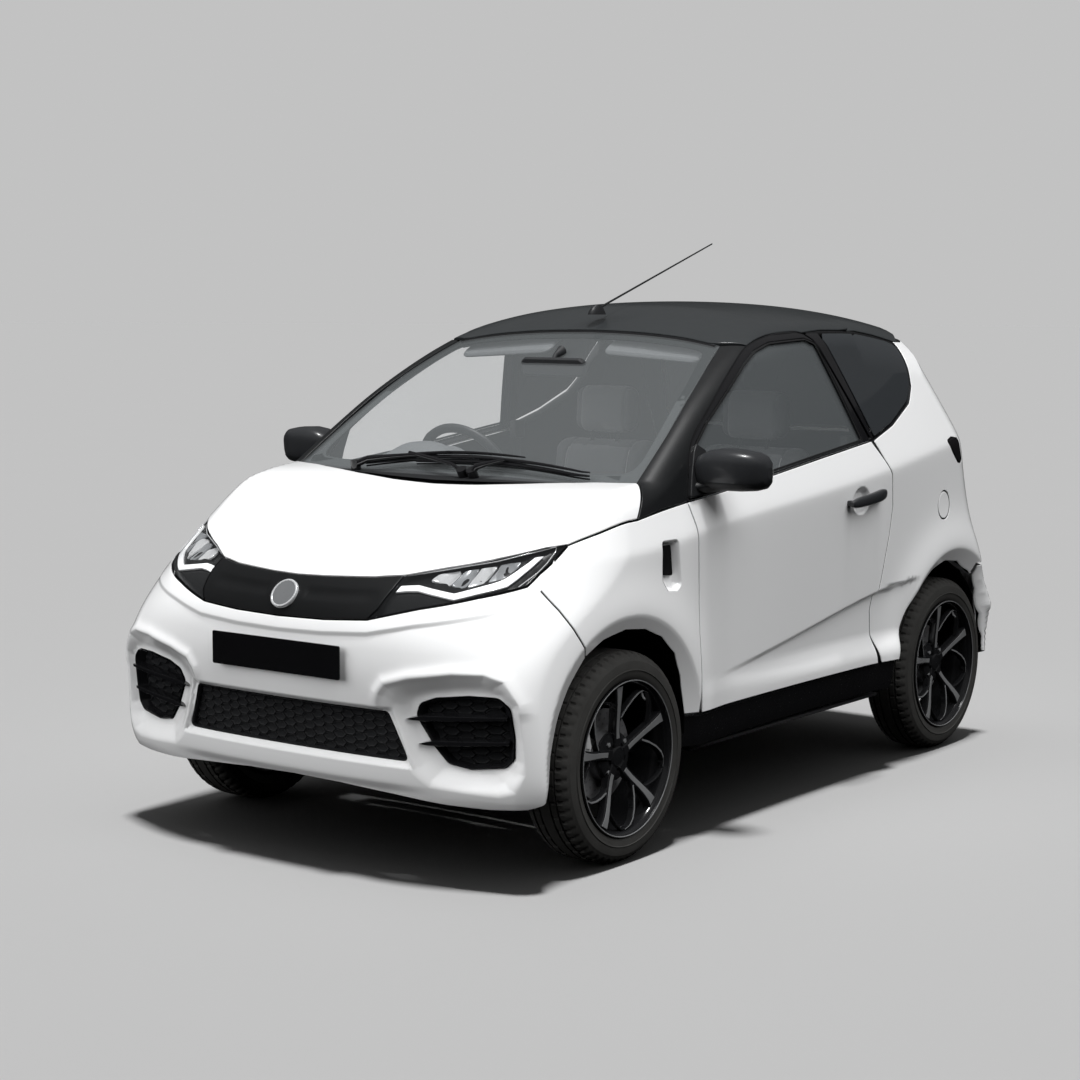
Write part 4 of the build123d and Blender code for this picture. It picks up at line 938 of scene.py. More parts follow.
# ------------------------------------------------------------------ doors
def door_low(view):
    return np.concatenate([yz(view, BELT), yz(view, DOOR_REAR[::-1]), yz(view, DOOR_FRONT[::-1][:-1])])
CUP = (.397, .872)
def cup_dip(q):
    r = np.sqrt(((q[:, 0] - CUP[0]) / .056) ** 2 + ((q[:, 1] - CUP[1]) / .044) ** 2)
    return .017 * sstep((1 - r) / .42)
gy, gz = np.meshgrid(np.arange(CUP[0] - .066, CUP[0] + .067, .0045), np.arange(CUP[1] - .054, CUP[1] + .055, .0045))
cup_pts = np.stack([gy.ravel(), gz.ravel()], 1)
yy = np.arange(-.45, .56, .007)
crease_pts = np.concatenate([np.stack([yy, L1(yy) - k], 1) for k in (-.005, 0, .005, .010, .015, .020, .026)] + [np.stack([yy, ZC(yy) + k], 1) for k in (-.012, -.006, 0, .006, .012)])
dl = door_low(Flank)
crease_pts = crease_pts[poly_sd(crease_pts[:, 0], crease_pts[:, 1], dl) < -.008]
crease_pts = crease_pts[np.hypot((crease_pts[:, 0] - CUP[0]) / .07, (crease_pts[:, 1] - CUP[1]) / .058) > 1]
low = panel(Flank, dl, thick=.040, step=.0125, edge=.009, dip=cup_dip, extra=np.concatenate([cup_pts, crease_pts]))
up_line = yz(Flank, DOOR_UP)
belt_top = yz(Flank, BELT)
def sash(flank_pts):
    return Sash.back(on(Flank, flank_pts))
frame_line = np.concatenate([sash(dense(belt_top, .02, closed=False)), Sash.back(DOOR_EDGE[:-1])])
PANE_EDGE = [(.679, -.402, .953), (.640, -.398, 1.078), (.627, -.318, 1.138), (.606, -.176, 1.221), (.578, -.052, 1.288), (.562, .030, 1.324), (.556, .121, 1.346), (.566, .312, 1.356)]
win = np.concatenate([Sash.back(on(Sash, Sash.back(np.array(PANE_EDGE)))), sash(yz(Flank, [(.352, 1.343), (.459, 1.049), (.20, 1.0195), (-.08, .9865)]))])
win = round_poly(win, [.012, .02, .06, .08, .08, .05, .05, .02, .014, .012, .05, .05])
upper = panel(Sash, frame_line, holes=[win], thick=.030, step=.014, level=-.0025, edge=.008)
side_pane = panel(Sash, win, gap=-.012, bev=.0008, thick=.004, level=-.010, step=.03, edge=.015)
for s, name in ((1, "left"), (-1, "right")):
    m = (lambda b: b) if s > 0 else (lambda b: b.mirrored())
    piece("door_%s_skin" % name, m(low), [M_WHITE, M_GREY_D], "door_" + name, "door_" + name)
    piece("door_%s_frame" % name, m(upper), [M_GLOSS, M_GREY_D], "door_" + name)
    piece("door_%s_pane" % name, m(side_pane), [M_GLASS_SIDE, M_GLASS_SIDE], "door_" + name, "door_%s_glass" % name)

# ------------------------------------------------------------------ quarter panels
TG_SIDE = [(.455, 1.362), (.505, 1.255), (.545, 1.120), (.560, 1.010), (.566, .900), (.556, .760), (.530, .660), (.500, .614)]   # x z of the tailgate's edge
q = np.concatenate([
    yz(Flank, [(.575, .352)]), yz(Flank, [(y + .0, z) for y, z in DOOR_REAR[1:]]), yz(Flank, [(.520, 1.045)]),
    yz(Flank, [(.535, 1.050), (.66, 1.086), (.802, 1.148), (.850, 1.200), (.876, 1.318)]), yz(Flank, [(.872, 1.340), (.93, 1.338)]),
    zx_rear(Flank, TG_SIDE), zx_rear(Flank, [(.560, .606), (.63, .602)]), yz(Flank, [(1.235, .600), (1.222, .560)]),
    yz(Flank, ARCH_R_YZ[:8][::-1]), yz(Flank, [(.664, .352)])])
CAP = [(.969 + .043 * math.cos(t), .816 + .045 * math.sin(t)) for t in np.linspace(0, 2 * math.pi, 40, endpoint=False)]
TL = [(.995, 1.020), (1.030, 1.030), (1.080, 1.024), (1.112, .955), (1.100, .944), (1.075, .948), (1.030, .985)]
tl_line = round_poly(yz(Flank, TL), .006)
cap_line = yz(Flank, CAP)
q_rows = arch_rows(ARCH_R, None, q, [cap_line, tl_line])
quarter_l = panel(Flank, q, holes=[cap_line, tl_line], thick=.030, step=.014, edge=.009, mats=(0, 1, 1), extra=q_rows)
quarter_r = panel(Flank, q, holes=[tl_line], thick=.030, step=.014, edge=.009, mats=(0, 1, 1), extra=q_rows)
piece("quarter_left_skin", quarter_l, [M_WHITE, M_GREY_D], "body", "quarter_panel_left")
piece("quarter_right_skin", quarter_r.mirrored(), [M_WHITE, M_GREY_D], "body", "quarter_panel_right")
cap = panel(Flank, cap_line, thick=.006, step=.012, edge=.006)
piece("fuel_cap_skin", cap, [M_WHITE, M_WHITE_IN], "body")
piece("tail_lamp_lenses", both(panel(Flank, tl_line, gap=.003, bev=.002, thick=.02, level=.001, step=.01, edge=.005)), [M_SMOKE, M_LAMP_BLACK], "body", "tail_lamps")
qg = panel(Flank, round_poly(yz(Flank, QGLASS), [.01, .015, .05, .05, .05, .02, .015, .015, .02, .1, .01]), gap=.004, bev=.0015, thick=.004, level=-.003, step=.02, edge=.010)
piece("quarter_panes", both(qg), [M_GLASS_DARK, M_GLASS_DARK], "body", "quarter_glass")
# near-black tubes behind the seams round the door window, the quarter glass and the screen's head: painted shade in the
# shut lines
def behind(pts, lv, r):
    p = np.asarray(pts, float)
    return tube(p - grad(p) * lv, r, 8, 0)
seam_b = behind(DOOR_EDGE[:DE_AT[-2]], .0145, .0125)
QT = np.concatenate([on(Side, np.array([(.340, 1.372), (.43, 1.3755), (.54, 1.374), (.66, 1.370), (.76, 1.356), (.855, 1.337), (.885, 1.330)]))])
seam_b.join(behind(QT, .0125, .0115))

# ------------------------------------------------------------------ roof, pillars, screen
ROOF_FRONT = [(0, -.006, 0), (.20, -.010, 0), (.35, -.018, 0), (.44, -.028, 0)]
ROOF_REAR = [(.5555, .43, 1.3785), (.5605, .54, 1.3768), (.546, .66, 1.3730), (.557, .76, 1.3592), (.5695, .855, 1.3400), (.5735, .895, 1.3312)]
ROOF_SIDE = [(.478, -.020, 1.352)] + [tuple(p) for p in DOOR_EDGE[DE_AT[1]:DE_AT[4] + 1][::-1]] + ROOF_REAR
h = np.concatenate([xy(Roof, [(p[0], p[1]) for p in ROOF_FRONT]), back_of(Roof, ROOF_SIDE), zx_rear(Roof, [(.50, 1.3575), (.455, 1.3660), (.40, 1.3695), (.2, 1.3755), (0, 1.3775)])])
piece("roof_skin", panel(Roof, left_right(h), thick=.010, step=.018, level=.001), [M_ROOF, M_HEADLINING], "body", "roof_panel")
HEAD = on(Top, np.array([(x, -.006 - .10 * x * x - .004) for x in np.linspace(0, .47, 14)]))
seam_c = behind(np.concatenate([HEAD[::-1] * [-1, 1, 1], HEAD[1:]]), .0150, .0125)
tp = np.array([(x, 1.3725 - .0015 * (x / .2) ** 2) for x in np.linspace(-.46, .46, 26)])
TAILTOP = hit(np.stack([tp[:, 0], 0 * tp[:, 0], tp[:, 1]], -1), np.broadcast_to(np.array([0., 1., 0.]), (26, 3)), .3, 1.5)
seam_c.join(behind(TAILTOP, .0150, .0125))
# the tubes are near black: painted shade deep in the seams
piece("seam_painted_shade", both(seam_b).join(seam_c), [M_BLACK_AND_SHADE], "body")
SCREEN = [(0, .962), (.25, .964), (.45, .972), (.600, .985), (.575, 1.10), (.530, 1.24), (.478, 1.356), (.40, 1.366), (.2, 1.376), (0, 1.380)]
screen_line = left_right(SCREEN)
piece("screen_glass", panel(ScreenView, screen_line, gap=-.010, bev=.001, thick=.005, level=-.006, step=.035, edge=.02), [M_GLASS, M_GLASS], "body", "windscreen")
SCREEN_IN = [(0, .992), (.25, .994), (.45, 1.000), (.568, 1.012), (.545, 1.10), (.502, 1.235), (.455, 1.335), (.40, 1.342), (.2, 1.352), (0, 1.356)]
border = panel(ScreenView, screen_line, holes=[round_poly(left_right(SCREEN_IN), [0, 0, 0, .05, 0, 0, .04, 0, 0, 0, 0, 0, .04, 0, 0, .05, 0, 0])], gap=.002, bev=.001, thick=.002, level=-.0115, step=.04, edge=.015)
piece("screen_border", border, [M_GLASS_BORDER, M_GLASS_BORDER], "body")
# pillar from the screen's edge round to the door
def sv(pts):
    return Sash.back(on(ScreenView, np.asarray(pts, float)))
p_edge = sv([(.606, .984), (.581, 1.10), (.536, 1.24), (.484, 1.358)])
pil = np.concatenate([p_edge, Sash.back(DOOR_EDGE[DE_AT[4]:]), sash(yz(Flank, [(-.62, .921)])), Sash.back(COWL_SIDE)])
piece("pillar_skins", both(panel(Sash, pil, gap=.004, bev=.0015, thick=.012, level=-.001, step=.010, edge=.008)), [M_PILLAR, M_GREY_D], "body", "roof_frame")
# rail over the door and quarter glass, and the pillar behind the door
rail = yz(Flank, [(.405, 1.374), (.405, 1.356), (.528, 1.053), (.512, 1.046), (.352, 1.352), (.330, 1.369), (.345, 1.375)])
piece("side_rails", both(panel(Flank, rail, gap=.004, bev=.0015, thick=.015, level=-.002, step=.012, edge=.007)), [M_GLOSS, M_GREY_D], "body")

# ------------------------------------------------------------------ tailgate and rear bumper
h = np.concatenate([zx_rear(Tail, [(0, 1.372), (.2, 1.370), (.40, 1.364)]), zx_rear(Tail, TG_SIDE), zx_rear(Tail, [(.40, .606), (.2, .604), (0, .604)])])
WIN = [(0, 1.330), (.2, 1.328), (.385, 1.318), (.44, 1.235), (.488, 1.090), (.490, 1.062), (.470, 1.045), (.25, 1.035), (0, 1.032)]
win_line = zx_rear(Tail, left_right(WIN))
def gate_dip(q):
    a = np.abs(q[:, 0]); z = q[:, 1]
    return .014 * sstep((.275 - a) / .02) * sstep((.075 - np.abs(z - .80)) / .02)
gate = panel(Tail, left_right(h), holes=[win_line], thick=.025, step=.014, dip=gate_dip)
piece("tailgate_skin", gate, [M_WHITE, M_GREY_D], "tailgate", "tailgate")
piece("rear_pane", panel(Tail, win_line, gap=-.006, bev=.001, thick=.004, level=-.002, step=.03, edge=.012), [M_GLASS_DARK, M_GLASS_DARK], "tailgate", "rear_window")
h = np.concatenate([zx_rear(Tail, [(0, .598), (.3, .600), (.52, .602), (.60, .598)]), yz(Tail, [(1.235, .594), (1.228, .560), (1.262, .51), (1.305, .42), (1.322, .34), (1.326, .290)]),
                    zx_rear(Tail, [(.645, .272), (.56, .236), (.40, .216), (.2, .214), (0, .214)])])
REAR_LOW = zx_rear(Tail, left_right([(0, .375), (.30, .375), (.40, .330), (.46, .222), (.3, .2185), (0, .2185)]))
def rear_dip(q):
    z = q[:, 1]; a = np.abs(q[:, 0])
    return .012 * sstep(-poly_sd(q[:, 0], z, REAR_LOW) / .015)
rb = panel(Tail, left_right(h), thick=.004, step=.011, dip=rear_dip)
# the bumper turns in behind the wheel
aw = dense(np.array([(1.228, .560), (1.262, .51), (1.305, .42), (1.322, .34), (1.326, .292)]), .012, closed=False)
A_ = on(Side, aw, level=-.0022)
az_ = A_[:, 2]
B_ = np.stack([np.full(len(az_), .640), np.interp(az_, [.29, .34, .42, .52, .56], [1.372, 1.368, 1.350, 1.288, 1.250]), az_ + .004], 1)
fold = [A_ * (1 - t) + B_ * t + np.array([0, .018 * math.sin(math.pi * t), 0]) for t in (0, .08, .3, .6, 1.)]
ret = grid(np.array(fold), 0).join(grid(np.array(fold) + [0, .003, 0], 1, flip=True))
piece("rear_arch_returns", both(ret), [M_WHITE, M_WHITE_IN], "body")
piece("rear_bumper_skin", rb, [M_WHITE, M_WHITE_IN], "body", "rear_bumper")
low_in = panel(Tail, zx_rear(Tail, left_right([(0, .365), (.295, .365), (.39, .325), (.445, .232), (.3, .2285), (0, .2285)])), gap=0, bev=.003, thick=.006, level=-.008, step=.02)
piece("rear_diffuser", low_in, [M_BLACK, M_BLACK], "body")

# ------------------------------------------------------------------ small helpers for placed parts
def skin_points(view, pts, level=0.0):
    """Points over the body, lifted along its own direction."""
    P = on(view, np.asarray(pts, float))
    return P + grad(P) * level

def plate_on(view, line, t, level, bev=.0015, m=0, step=.012):
    """A small plate laid on the body, t thick, its face at level."""
    return panel(view, line, gap=0, bev=bev, thick=t, level=level, step=step, edge=.006, mats=(m, m, m))

def ribbon(view, a, b, t, level, m=0):
    """Strip between two lines of the same number of points on the body."""
    return plate_on(view, np.concatenate([np.asarray(a, float), np.asarray(b, float)[::-1]]), t, level, m=m)

# ------------------------------------------------------------------ lamps
LAMP = np.concatenate([back_of(Nose, LAMP_TOP), back_of(Nose, LAMP_LOW), back_of(Nose, LAMP_IN)])
lens = panel(Nose, LAMP, gap=.003, bev=.0012, thick=.004, level=0, step=.012, edge=.007)
bowl_b = panel(Nose, LAMP, gap=.004, bev=.001, thick=.003, level=-.024, step=.02, edge=.010, mats=(2, 2, 2))
lampwall = ccw(dense(LAMP, .008)); lampwall = inset(lampwall, .003)
wall_rows = [on(Nose, lampwall, level=-.004), on(Nose, lampwall, level=-.026)]
lamp_wall = grid(np.array(wall_rows), 2, close_v=True)
drl_t = zx(Nose, [(.327, .755), (.350, .7575), (.374, .759), (.425, .752), (.477, .745), (.520, .759), (.565, .776), (.582, .803), (.594, .826), (.608, .829)])
drl_b = zx(Nose, [(.325, .741), (.352, .745), (.382, .7465), (.432, .739), (.486, .7305), (.530, .744), (.582, .761), (.596, .789), (.604, .812), (.6085, .827)])
drl = ribbon(Nose, drl_t, drl_b, .006, -.011, m=0)
line_a = [(.309, .7735), (.36, .783), (.414, .7945), (.519, .815), (.57, .832), (.618, .8495), (.622, .838), (.6215, .812), (.617, .790), (.602, .7595)]
lo_ = on(Nose, zx(Nose, line_a), level=-.008)
line = tube(lo_, .0016, 6, m=0)
CELLS = [  # the reflector's cells: outline x z, depth
    ([(.385, .769), (.391, .783), (.430, .791), (.448, .782), (.447, .759), (.420, .760)], -.014),
    ([(.451, .792), (.452, .760), (.484, .752), (.492, .757), (.488, .799)], -.015),
    ([(.491, .799), (.496, .757), (.529, .766), (.531, .807)], -.014),
    ([(.535, .808), (.533, .767), (.570, .780), (.577, .812), (.572, .817)], -.016)]
refl = Bits()
for k, (line_c, lv) in enumerate(CELLS):
    refl.join(panel(Nose, round_poly(zx(Nose, line_c), .006), gap=.001, bev=.002, thick=.006, level=lv, step=.006, edge=.005,
                    dip=(lambda q, c=zx(Nose, [(sum(p[0] for p in line_c) / len(line_c), sum(p[1] for p in line_c) / len(line_c))])[0]:
                         .010 * np.clip(1 - ((q[:, 0] - c[0] - .004) ** 2 + (q[:, 1] - c[1] + .008) ** 2) / .0011, 0, 1)), mats=(k % 2, k % 2, k % 2)))
piece("headlamp_lenses", both(lens), [M_LENS, M_LENS], "body", "headlamps")
inner_l = Bits().join(bowl_b).join(lamp_wall)
piece("headlamp_bowls", both(inner_l), [M_LAMP_BLACK, M_LAMP_BLACK, M_LAMP_BLACK], "body")
piece("headlamp_daylight_strips", both(drl), [M_DRL], "body")
piece("headlamp_edge_lines", both(line), [M_CHROME], "body")
piece("headlamp_reflectors", both(refl), [M_CHROME, M_LAMP_GREY], "body")

# ------------------------------------------------------------------ front openings
# near-black sheet set far back behind the grille and corner openings: painted shade inside the openings
back_line = left_right(np.concatenate([zx(Nose, [(0, .755), (.30, .755), (.45, .77), (.58, .80)]), zx(Nose, [(.64, .70), (.66, .60), (.655, .45), (.64, .30), (.60, .26), (.3, .262), (0, .265)])]))
piece("front_openings_painted_shade", panel(Nose, back_line, gap=0, thick=.004, level=-.062, step=.03, edge=.02), [M_BLACK_AND_SHADE, M_BLACK_AND_SHADE], "body")

def hexes(view, region, rx, rz, gapw, level, t, grow=.010, m=0):
    """Hexagonal scales over a region: rx and rz are the half sizes, each slightly domed with its own edge."""
    b = Bits()
    lo, hi = region.min(0), region.max(0)
    dx, dz = rx * 1.5, rz * 2
    i = 0
    x = lo[0]
    pts = []
    while x < hi[0] + rx:
        z = lo[1] + (rz if i % 2 else 0)
        while z < hi[1] + rz:
            pts.append((x, z)); z += dz
        x += dx; i += 1
    pts = np.array(pts)
    pts = pts[poly_sd(pts[:, 0], pts[:, 1], region) < grow]
    a = np.arange(6) * np.pi / 3
    shape = np.stack([np.cos(a) * rx, np.sin(a) * rz / math.sin(math.pi / 3)], 1)
    rings = [(1 - gapw / rx, -t), (1 - gapw / rx, -.001), (1 - (gapw + .0016) / rx, .0), (.62, -.0022)]
    allr = []
    for k, lv in rings:
        q = (pts[:, None, :] + shape[None] * k).reshape(-1, 2)
        allr.append(on(view, q, level=level + lv).reshape(len(pts), 6, 3))
    c = on(view, pts, level=level - .003)
    for n in range(len(pts)):
        V = np.concatenate([r[n] for r in allr] + [c[n:n + 1]])
        F = []
        for k in range(3):
            for j in range(6):
                j2 = (j + 1) % 6
                F.append([k * 6 + j, k * 6 + j2, (k + 1) * 6 + j2, (k + 1) * 6 + j])
        for j in range(6):
            F.append([18 + j, 18 + (j + 1) % 6, 24])
        F.append([5, 4, 3, 2, 1, 0])
        b.add(V, F, m)
    return b
mesh_mid = hexes(Nose, round_poly(GR, .012), .0225, .0112, .0015, -.028, .006)
piece("grille_mesh", mesh_mid, [M_MESH], "body", "lower_grille", smooth=False)
mesh_fog = hexes(Nose, round_poly(FOG, .02), .0225, .0112, .0015, -.052, .005, grow=.004)
piece("corner_meshes", both(mesh_fog), [M_BLACK], "body", smooth=False)
# pocket walls from the skin's opening back to the mesh
def pocket(line, l0, l1, shrink):
    L = ccw(dense(line, .006))
    rows = [on(Nose, inset(L, k), level=lv) for k, lv in ((-.0005, l0 + .0015), (.0015, l0), (.003, l0 - .003), (shrink, l1))]
    return grid(np.array(rows), 0, close_v=True)
pk = pocket(round_poly(FOG, .020), -.030, -.056, .010)
piece("corner_pockets", both(pk), [M_GLOSS], "body")
pk = pocket(round_poly(GR, .012), -.0165, -.034, .004)
piece("grille_frame", pk, [M_BLACK], "body")
def fin(tip, mid, end, h):
    """Pointed blade across the corner pocket."""
    A, Bm, E = [np.array(p, float) for p in (tip, mid, end)]
    top = np.array([A, .5 * (A + Bm) + [0, h * .62], Bm + [0, h], .5 * (Bm + E) + [0, h * .8], E + [0, h * .6]])
    bot = np.array([A, .5 * (A + Bm) - [0, h * .55], Bm - [0, h * .8], .5 * (Bm + E) - [0, h * .7], E - [0, h * .5]])
    line = zx(Nose, np.concatenate([top, bot[::-1][:-1]]))
    return plate_on(Nose, line, .030, -.018, bev=.0015)
fins = Bits().join(fin((.384, .428), (.436, .433), (.668, .449), .0075)).join(fin((.414, .366), (.462, .371), (.668, .386), .0075))
piece("corner_fins", both(fins), [M_GLOSS], "body")

# number plate and the bare disc
def plate_at(P, d):
    return np.stack([P[:, 0], np.full(len(P), -1.3885) - d, P[:, 1] + .561], 1)
pl = slab(round_poly([(-.2225, -.0435), (.2225, -.0435), (.2225, .0435), (-.2225, .0435)], .006), 0, .0050, plate_at, bev=.001)
rim_ = Bits()
for r0, r1 in ((.0405, .0425),):
    outer = round_poly([(-.2205, -.0415), (.2205, -.0415), (.2205, .0415), (-.2205, .0415)], .006)
pl.join(slab(round_poly([(-.20, -.030), (-.16, -.030), (-.16, .030), (-.20, .030)], .003), -.016, 0, plate_at))
pl.join(slab(round_poly([(.16, -.030), (.20, -.030), (.20, .030), (.16, .030)], .003), -.016, 0, plate_at))
piece("number_plate_blank", pl, [M_PLATE], "body", "number_plate_front", sharp=30)
C0 = on(Nose, np.array([[0., .716]]))[0]; n0 = grad(C0[None])[0]
ux = np.array([1., 0, 0]); uz = np.cross(n0, ux); uz = uz / np.linalg.norm(uz) * (1 if np.cross(n0, ux)[2] > 0 else -1)
def disc_rows(prof):
    a = np.linspace(0, 2 * np.pi, 64, endpoint=False)
    return np.array([[C0 + ux * r * math.cos(t) + uz * r * math.sin(t) + n0 * d for r, d in prof] for t in a])
dk = grid(disc_rows([(.0415, -.004), (.0415, .0035), (.0400, .0052), (.0365, .0056), (.0352, .0040)]), 0, close_u=True, flip=True)
dk.join(grid(disc_rows([(.0352, .0040), (.026, .0046), (.012, .0050), (.0005, .0051)]), 1, close_u=True, flip=True))
piece("bare_disc", dk, [M_SILVER, M_SILVER_D], "body")

# ------------------------------------------------------------------ sills and liners
sill_line = yz(Flank, [(-.512, .346), (-.20, .346), (.20, .348), (.662, .349), (.652, .30), (.640, .262), (.20, .258), (-.20, .256), (-.512, .256), (-.520, .30)])
piece("sill_covers", both(panel(Flank, sill_line, gap=.002, bev=.003, thick=.050, level=-.010, step=.03)), [M_SILL, M_BLACK_AND_SHADE], "body", "sills")
def liner(arch, x1, x0, cy, cz):
    """Black inner of a wheel arch, from the skin's edge in to the side of the car."""
    A = dense(np.array(arch, float), .014, closed=False)
    c = np.array([cy, cz])
    def ring(x, k):
        q = c + (A - c) * k
        if cy < 0 and k > .9:   # room behind the steered tyre
            q[:, 0] += .040 * sstep((q[:, 0] - cy - .16) / .10) * sstep((x1 - .025 - x) / .05)
        return np.stack([np.full(len(A), x), q[:, 0], q[:, 1]], 1)
    R = np.stack([ring(x1, .996), ring(x1 - .012, 1.004), ring(x1 - .08, 1.004), ring(x0 + .03, 1.004), ring(x0, .96), ring(x0 - .004, .40)], 1)
    b = grid(R, 0)
    R2 = np.stack([ring(x1, 1.000), ring(x1 - .012, 1.010), ring(x1 - .08, 1.010), ring(x0 + .03, 1.010), ring(x0 - .002, .975), ring(x0 - .009, .40)], 1)
    b.join(grid(R2, 0, flip=True))
    return b
fl = liner([(-.516, .30), (-.514, .352)] + ARCH_F_YZ[::-1][1:] + [(-1.000, .565)] + ARCH_F_FRONT[:-1], .690, .400, -.815, .285)
rl = liner([(.655, .30)] + ARCH_R_YZ[:8] + [(1.262, .515), (1.310, .465), (1.345, .41), (1.367, .35), (1.3745, .29)], .668, .450, 1.030, .285)
piece("arch_liners", both(Bits().join(fl).join(rl)), [M_BLACK_AND_SHADE], "body", "wheelhouse_liners")

# ------------------------------------------------------------------ mirrors, handles
def mirror_bits():
    secs = [  # x, y middle, z middle, half depth, half height
        (.664, -.398, 1.000, .026, .020), (.669, -.400, 1.006, .044, .036), (.682, -.402, 1.011, .056, .046), (.712, -.403, 1.0165, .064, .0535), (.750, -.402, 1.0185, .067, .0565),
        (.800, -.399, 1.0175, .065, .0550), (.838, -.393, 1.0155, .058, .0505), (.858, -.387, 1.0135, .047, .0430), (.867, -.383, 1.012, .033, .031), (.8712, -.380, 1.011, .015, .015)]
    n = 40
    rows = []
    for x, y, z, d, h_ in secs:
        q = []
        for t in np.linspace(0, 2 * np.pi, n, endpoint=False):
            c, s_ = math.cos(t), math.sin(t)
            e = 2 / 3.2
            yy = d * abs(c) ** e * (1 if c > 0 else -1); zz = h_ * abs(s_) ** e * (1 if s_ > 0 else -1)
            if yy > 0:
                yy *= .62
            # the front face leans and narrows outwards
            q.append((x, y + yy - .10 * (zz) * (1 if yy < 0 else 0), z + zz))
        rows.append(q)
    R = np.array(rows)
    b = grid(R, 0, close_v=True)
    b.add(R[0], [list(range(n))], 0); b.add(R[-1], [list(range(n))[::-1]], 0)
    # lower shell, slightly proud, with the split line
    low = R[1:9].copy()
    low[:, :, 2] -= .0015; low[:, :, 1] = low[:, :, 1] * 1.0
    keep = [j for j in range(n) if math.sin(2 * math.pi * j / n) < -.32]
    cen = np.array([[s[1], s[2]] for s in secs[1:9]])
    L = low[:, keep]
    for k in range(len(L)):
        L[k, :, 1] = cen[k, 0] + (L[k, :, 1] - cen[k, 0]) * 1.02
        L[k, :, 2] = cen[k, 1] + (L[k, :, 2] - cen[k, 1]) * 1.03
    b.join(grid(L, 1))
    # arm to the door's corner
    arm = []
    for x, y, z, d, h_ in ((.655, -.440, .966, .046, .022), (.690, -.424, .968, .044, .019), (.725, -.408, .974, .042, .017), (.780, -.400, .982, .036, .015)):
        arm.append([(x, y + d * math.cos(t), z + h_ * math.sin(t)) for t in np.linspace(0, 2 * np.pi, 20, endpoint=False)])
    b.join(grid(np.array(arm), 1, close_v=True))
    return b
mb = mirror_bits()
glass_m = slab(round_poly([(.745, .978), (.855, .986), (.858, 1.000), (.852, 1.040), (.830, 1.050), (.760, 1.052), (.745, 1.040)], .012), 0, .003,
               lambda P, d: np.stack([P[:, 0], np.full(len(P), -.3580) + d + .0 * P[:, 0] - .10 * (P[:, 0] - .79), P[:, 1]], 1))
tri_line = np.concatenate([sash(yz(Flank, [(-.495, .938)])), Sash.back(on(Sash, Sash.back(np.array([(.667, -.462, .998), (.650, -.424, 1.060), (.644, -.405, 1.078)])))), sash(yz(Flank, [(-.372, 1.060), (-.362, .950)]))])
tri = panel(Sash, round_poly(tri_line, .006), gap=0, bev=.003, thick=.018, level=.010, step=.02)
def handle_bits():
    y = np.linspace(.302, .512, 22)
    rows = []
    for k, yy in enumerate(y):
        t = (yy - .302) / .21
        z = .868 + .020 * t
        base = on(Side, np.array([[yy, z]]))[0][0]
        off = .020 + .008 * math.sin(math.pi * t)
        hh = (.0150 + .0040 * t) * (min(1, (math.sin(math.pi * t)) ** .25 + .12) if 0 < t < 1 else .45)
        hx = .0115 * (min(1, (math.sin(math.pi * t)) ** .25 + .12) if 0 < t < 1 else .45)
        rows.append([(base + off + hx * math.copysign(abs(math.cos(a)) ** .7, math.cos(a)), yy, z + hh * math.copysign(abs(math.sin(a)) ** .7, math.sin(a))) for a in np.linspace(0, 2 * np.pi, 18, endpoint=False)])
    R = np.array(rows)
    b = grid(R, 0, close_v=True, flip=True)
    b.add(R[0], [list(range(18))[::-1]], 0); b.add(R[-1], [list(range(18))], 0)
    for yy in (.318, .498):
        t = (yy - .302) / .21; z = .868 + .020 * t
        x = on(Side, np.array([[yy, z]]))[0][0]
        b.join(bar((x - .002, yy - .011, z - .009), (x + .022, yy + .011, z + .009), .004))
    return b
hb = handle_bits()
for s, name in ((1, "left"), (-1, "right")):
    m = (lambda b: b) if s > 0 else (lambda b: b.mirrored())
    piece("mirror_%s_housing" % name, m(mb), [M_MIRROR_BLACK, M_BLACK], "door_" + name, "mirror_" + name, sharp=40)
    piece("mirror_%s_glass" % name, m(glass_m), [M_MIRROR], "door_" + name, sharp=30)
    piece("mirror_%s_base" % name, m(tri), [M_BLACK, M_BLACK], "door_" + name)
    piece("door_%s_handle" % name, m(hb), [M_MIRROR_BLACK], "door_" + name, "door_handle_" + name, sharp=40)

# seals round the side windows
def band(view, line, w, t, level, m=0):
    L = ccw(dense(line, .008))
    return panel(view, L, holes=[inset(L, w)[::-1]], gap=0, bev=.001, thick=t, level=level, step=.03, edge=.009, mats=(m, m, m))
seal = band(Sash, win, .006, .004, -.0030)
for s, name in ((1, "left"), (-1, "right")):
    m = (lambda b: b) if s > 0 else (lambda b: b.mirrored())
    piece("door_%s_seal" % name, m(seal), [M_RUBBER], "door_" + name)

# ------------------------------------------------------------------ scuttle, wipers, antenna
xs = np.linspace(-.606, .606, 61)
rows = []
for x in xs:
    ax = abs(x)
    be = (np.interp(ax, [0, .15, .30, .45, .56, .612], [-.742, -.736, -.716, -.684, -.652, -.634]) + .730,
          np.interp(ax, [0, .15, .30, .45, .56, .612], [.965, .968, .974, .982, .988, .988]) - .930)
    g = on(ScreenView, np.array([[x, .964 + .021 * (ax / .6) ** 2]]))[0]
    # the front wall follows the arc that the bonnet's rear edge swings through
    r = min(math.hypot(*be) + .0045, math.hypot(g[1] - .004 + .730, g[2] - .010 - .930) - .001)
    fa = math.atan2(be[1], be[0]) - .12
    arc = [(x, -.730 + r * math.cos(f), .930 + r * math.sin(f)) for f in np.linspace(fa - 1.15, fa, 6)]
    rows.append(arc + [(x, g[1] - .004, g[2] - .010), (x, g[1] + .012, g[2] - .004), (x, g[1] + .016, g[2] - .030)])
